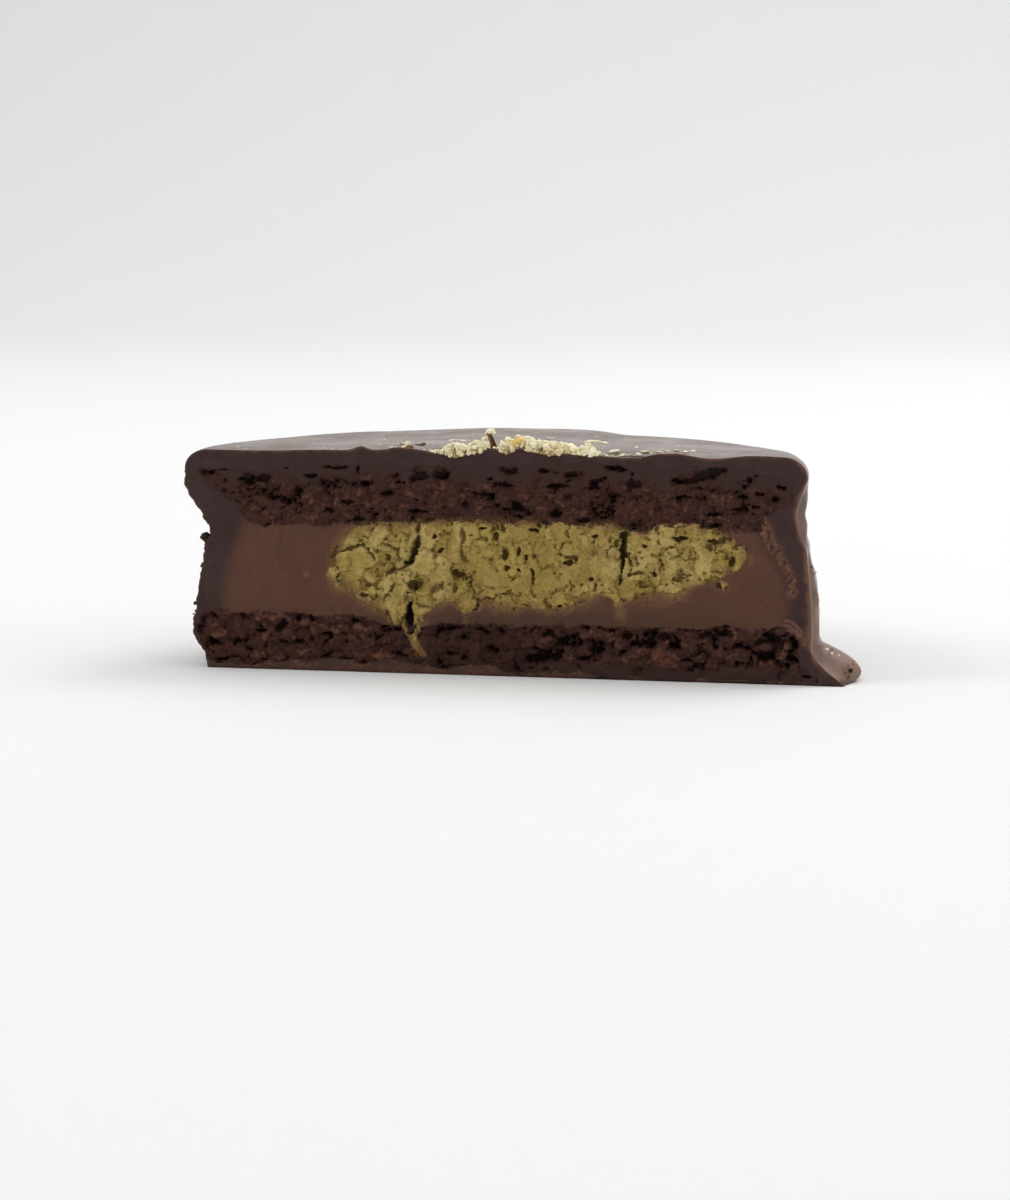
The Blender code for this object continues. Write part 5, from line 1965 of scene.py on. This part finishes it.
@dataclass(frozen=True)
class Studio:
    """A pale sweep under soft light, and the camera."""

    place: Place
    floor_colour: tuple = (0.85, 0.855, 0.85, 1.0)
    # The sweep: half its width, its front and back, the bend's radius and the wall's top, in metres
    half_width: float = 2.4
    front: float = -1.6
    back: float = 0.7
    bend: float = 0.5
    top: float = 2.6
    dim: float = 0.25
    bright: float = 0.75
    zenith: float = 0.85
    seen: float = 0.85
    # The lamps: name, place, side in metres, power in watts and, if not the cookie, the aim
    lamps: tuple = (
        ("overhead", (0.4, 0.38, 0.75), 0.5, 2.72),
        ("key", (-0.62, -0.3, 0.6), 0.35, 1.45),
        ("right", (0.8, 0.02, 0.32), 0.42, 0.75),
        ("backdrop", (0.0, 0.1, 1.25), 0.6, 3.66, (0.0, 1.2, 0.7)),
    )
    # The camera: its lens and sensor, its place in own millimetres and the way it looks
    lens: float = 84.0
    sensor: float = 36.0
    eye: tuple[float, float, float] = (52.31, -269.11, 45.62)
    look: tuple[float, float, float] = (-0.18433, 0.97323, -0.13726)

    def build(self) -> None:
        """Sets the sweep, the lights, the world and the camera."""
        self.sweep()
        self.world()
        for lamp in self.lamps:
            self.lamp(*lamp)
        self.camera()

    def sweep(self) -> None:
        """Floor and wall in one sheet: flat, a quarter round, then upright."""
        turn = np.linspace(0.0, np.pi / 2, 24)
        wall = self.back + self.bend
        y = np.concatenate([[self.front], self.back + self.bend * np.sin(turn), [wall]])
        z = np.concatenate([[0.0], self.bend - self.bend * np.cos(turn), [self.top]])
        sides = [np.stack([0 * y + side, y, z], -1) for side in (-self.half_width, self.half_width)]
        points = np.stack(sides)
        index = np.arange(2 * len(y)).reshape(2, -1)
        material = Finish("sweep", 0.1).wear(Base_Color=self.floor_colour, Roughness=0.9)
        mesh = bpy.data.meshes.new("sweep")
        mesh.from_pydata(points.reshape(-1, 3).tolist(), [], grid_quads(index).tolist())
        mesh.shade_smooth()
        mesh.materials.append(material)
        put("sweep", mesh)

    def world(self) -> None:
        """Soft surroundings: bright above and behind, dimmer on the viewer's side.

        The strength runs with the direction's part along +Y, and upwards it rises; seen
        directly the surroundings are one even pale grey.
        """
        world = bpy.data.worlds.new("studio")
        world.use_nodes = True
        bpy.context.scene.world = world
        board = NodeBoard(world.node_tree)
        way = board.add("ShaderNodeTexCoord").outputs["Generated"]
        parts = board.add("ShaderNodeSeparateXYZ", {"Vector": way}).outputs
        ahead = board.window(parts["Y"], -0.5, 0.5)
        above = board.window(parts["Z"], 0.15, 0.9)
        near = board.add("ShaderNodeMix", {0: ahead, 2: self.dim, 3: self.bright}).outputs[0]
        whole = board.add("ShaderNodeMix", {0: above, 2: near, 3: self.zenith}).outputs[0]
        seen = board.add("ShaderNodeLightPath").outputs["Is Camera Ray"]
        strength = board.add("ShaderNodeMix", {0: seen, 2: whole, 3: self.seen}).outputs[0]
        background = world.node_tree.nodes["Background"]
        background.inputs["Color"].default_value = (1.0, 1.0, 1.0, 1.0)
        board.join(strength, background.inputs["Strength"])

    def lamp(
        self, name: str, at: tuple, size: float, power: float, aim: tuple = (0.0, 0.0, 0.01)
    ) -> None:
        """One square lamp, aimed at the cookie or elsewhere.

        Args:
            name: The lamp's name.
            at: Where it hangs, in metres.
            size: Its side, in metres.
            power: Its power, in watts.
            aim: What it points at, in metres.
        """
        light = bpy.data.lights.new(name, "AREA")
        light.shape = "SQUARE"
        light.size = size
        light.energy = power
        lamp = put(name, light)
        lamp.location = at
        lamp.rotation_mode = "QUATERNION"
        lamp.rotation_quaternion = (Vector(aim) - Vector(at)).to_track_quat("-Z", "Y")

    def camera(self) -> None:
        """The viewer's eye: low in front, a little to the right, with a long lens."""
        data = bpy.data.cameras.new("camera")
        data.lens = self.lens
        data.sensor_width = self.sensor
        camera = put("camera", data)
        camera.location = self.place.to_row(np.array(self.eye))
        camera.rotation_mode = "QUATERNION"
        camera.rotation_quaternion = Vector(self.look).to_track_quat("-Z", "Y")
        bpy.context.scene.camera = camera
        bpy.context.scene.view_settings.view_transform = "Standard"


# The layers inside the coat: piece, node, slot, finish and slab
LAYERS = (
    (
        "biscuit_upper", "top_biscuit", "cocoa_biscuit", BiscuitFinish("upper_crumb"),
        LayerSlab(
            layer=Layer.TOP,
            reach=(-30.0, 29.6),
            floor=((-30, 18.8), (-25.4, 14.9), (0, 14.6), (26, 14.6), (29.4, 17.4), (29.6, 17.5)),
            roof=((-30, 20.1), (-16, 20.9), (9.5, 21.3), (23, 21.2), (28.6, 20.6), (29.6, 20.3)),
            depth=28.0,
        ),
    ),
    (
        "cream", "cocoa_filling", "cocoa_filling", CreamFinish(),
        LayerSlab(
            layer=Layer.CREAM,
            reach=(-27.8, 29.4),
            floor=((-28, 5.4), (0, 4.9), (29, 5)),
            roof=((-28, 13), (-25, 14.9), (0, 15.2), (26, 15), (29, 12)),
            depth=26.5,
            pitch=0.15,
            plunge=2.2,
        ),
    ),
    (
        "nut_core", "pistachio_core", "pistachio_paste", PasteFinish(),
        LayerSlab(
            layer=Layer.CORE,
            reach=(-16.8, 25.2),
            floor=(
                (-16.8, 8.2), (-12.5, 6.6), (-9.4, 3.4), (-8.4, 1.9), (-6.6, 1.7), (-5.6, 5.6),
                (-2, 6), (10, 6.6), (17, 7.6), (23.6, 9), (25.2, 10.8),
            ),
            roof=((-16.8, 12), (-13, 15), (0, 15.4), (20, 15.4), (25.2, 13.6)),
            depth=20.0,
            pitch=0.085,
        ),
    ),
    (
        "biscuit_lower", "bottom_biscuit", "cocoa_biscuit", BiscuitFinish("lower_crumb"),
        LayerSlab(
            layer=Layer.BOTTOM,
            reach=(-30.3, 31.6),
            floor=((-30.3, 4.2), (-29.6, 2.4), (-29, 1.2), (0, 0.9), (10, 0.8), (31.6, 0.75)),
            roof=((-30.3, 5.4), (-29.4, 6), (-9, 5.2), (0, 5.2), (28, 5.6), (31.6, 2.6)),
            depth=28.5,
        ),
    ),
)


def main() -> None:
    """Builds the pieces in order, reports them, and sets the studio."""
    logging.basicConfig(level=logging.INFO, format="%(message)s")
    form = Form()
    face = CutFace()
    low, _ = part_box("chocolate_coat")
    place = Place(axis_x=low.x + form.left_reach() * MM, cut_y=low.y)
    coat = Coat(form).build(face, place, SkinFinish().build(), CutChocolateFinish().build())
    set_piece(coat, "chocolate_coat", "chocolate_coat")
    for name, node, slot, finish, slab in LAYERS:
        set_piece(slab.build(name, face, place, finish.build()), slot, node)
    dark = ShardFinish().build()
    bed, lumps, grains, stalk, brown = NutCrumbs(form).build(place, CrumbFinish().build(), dark)
    set_piece(bed, "nut_crumbs", "nut_crumbs")
    for piece in (lumps, grains):
        set_piece(piece, "nut_crumbs")
    for piece in (stalk, brown, DarkCrumbs(form).build(place, dark)):
        set_piece(piece, "cocoa_biscuit")
    Studio(place).build()


if __name__ == "__main__":
    main()
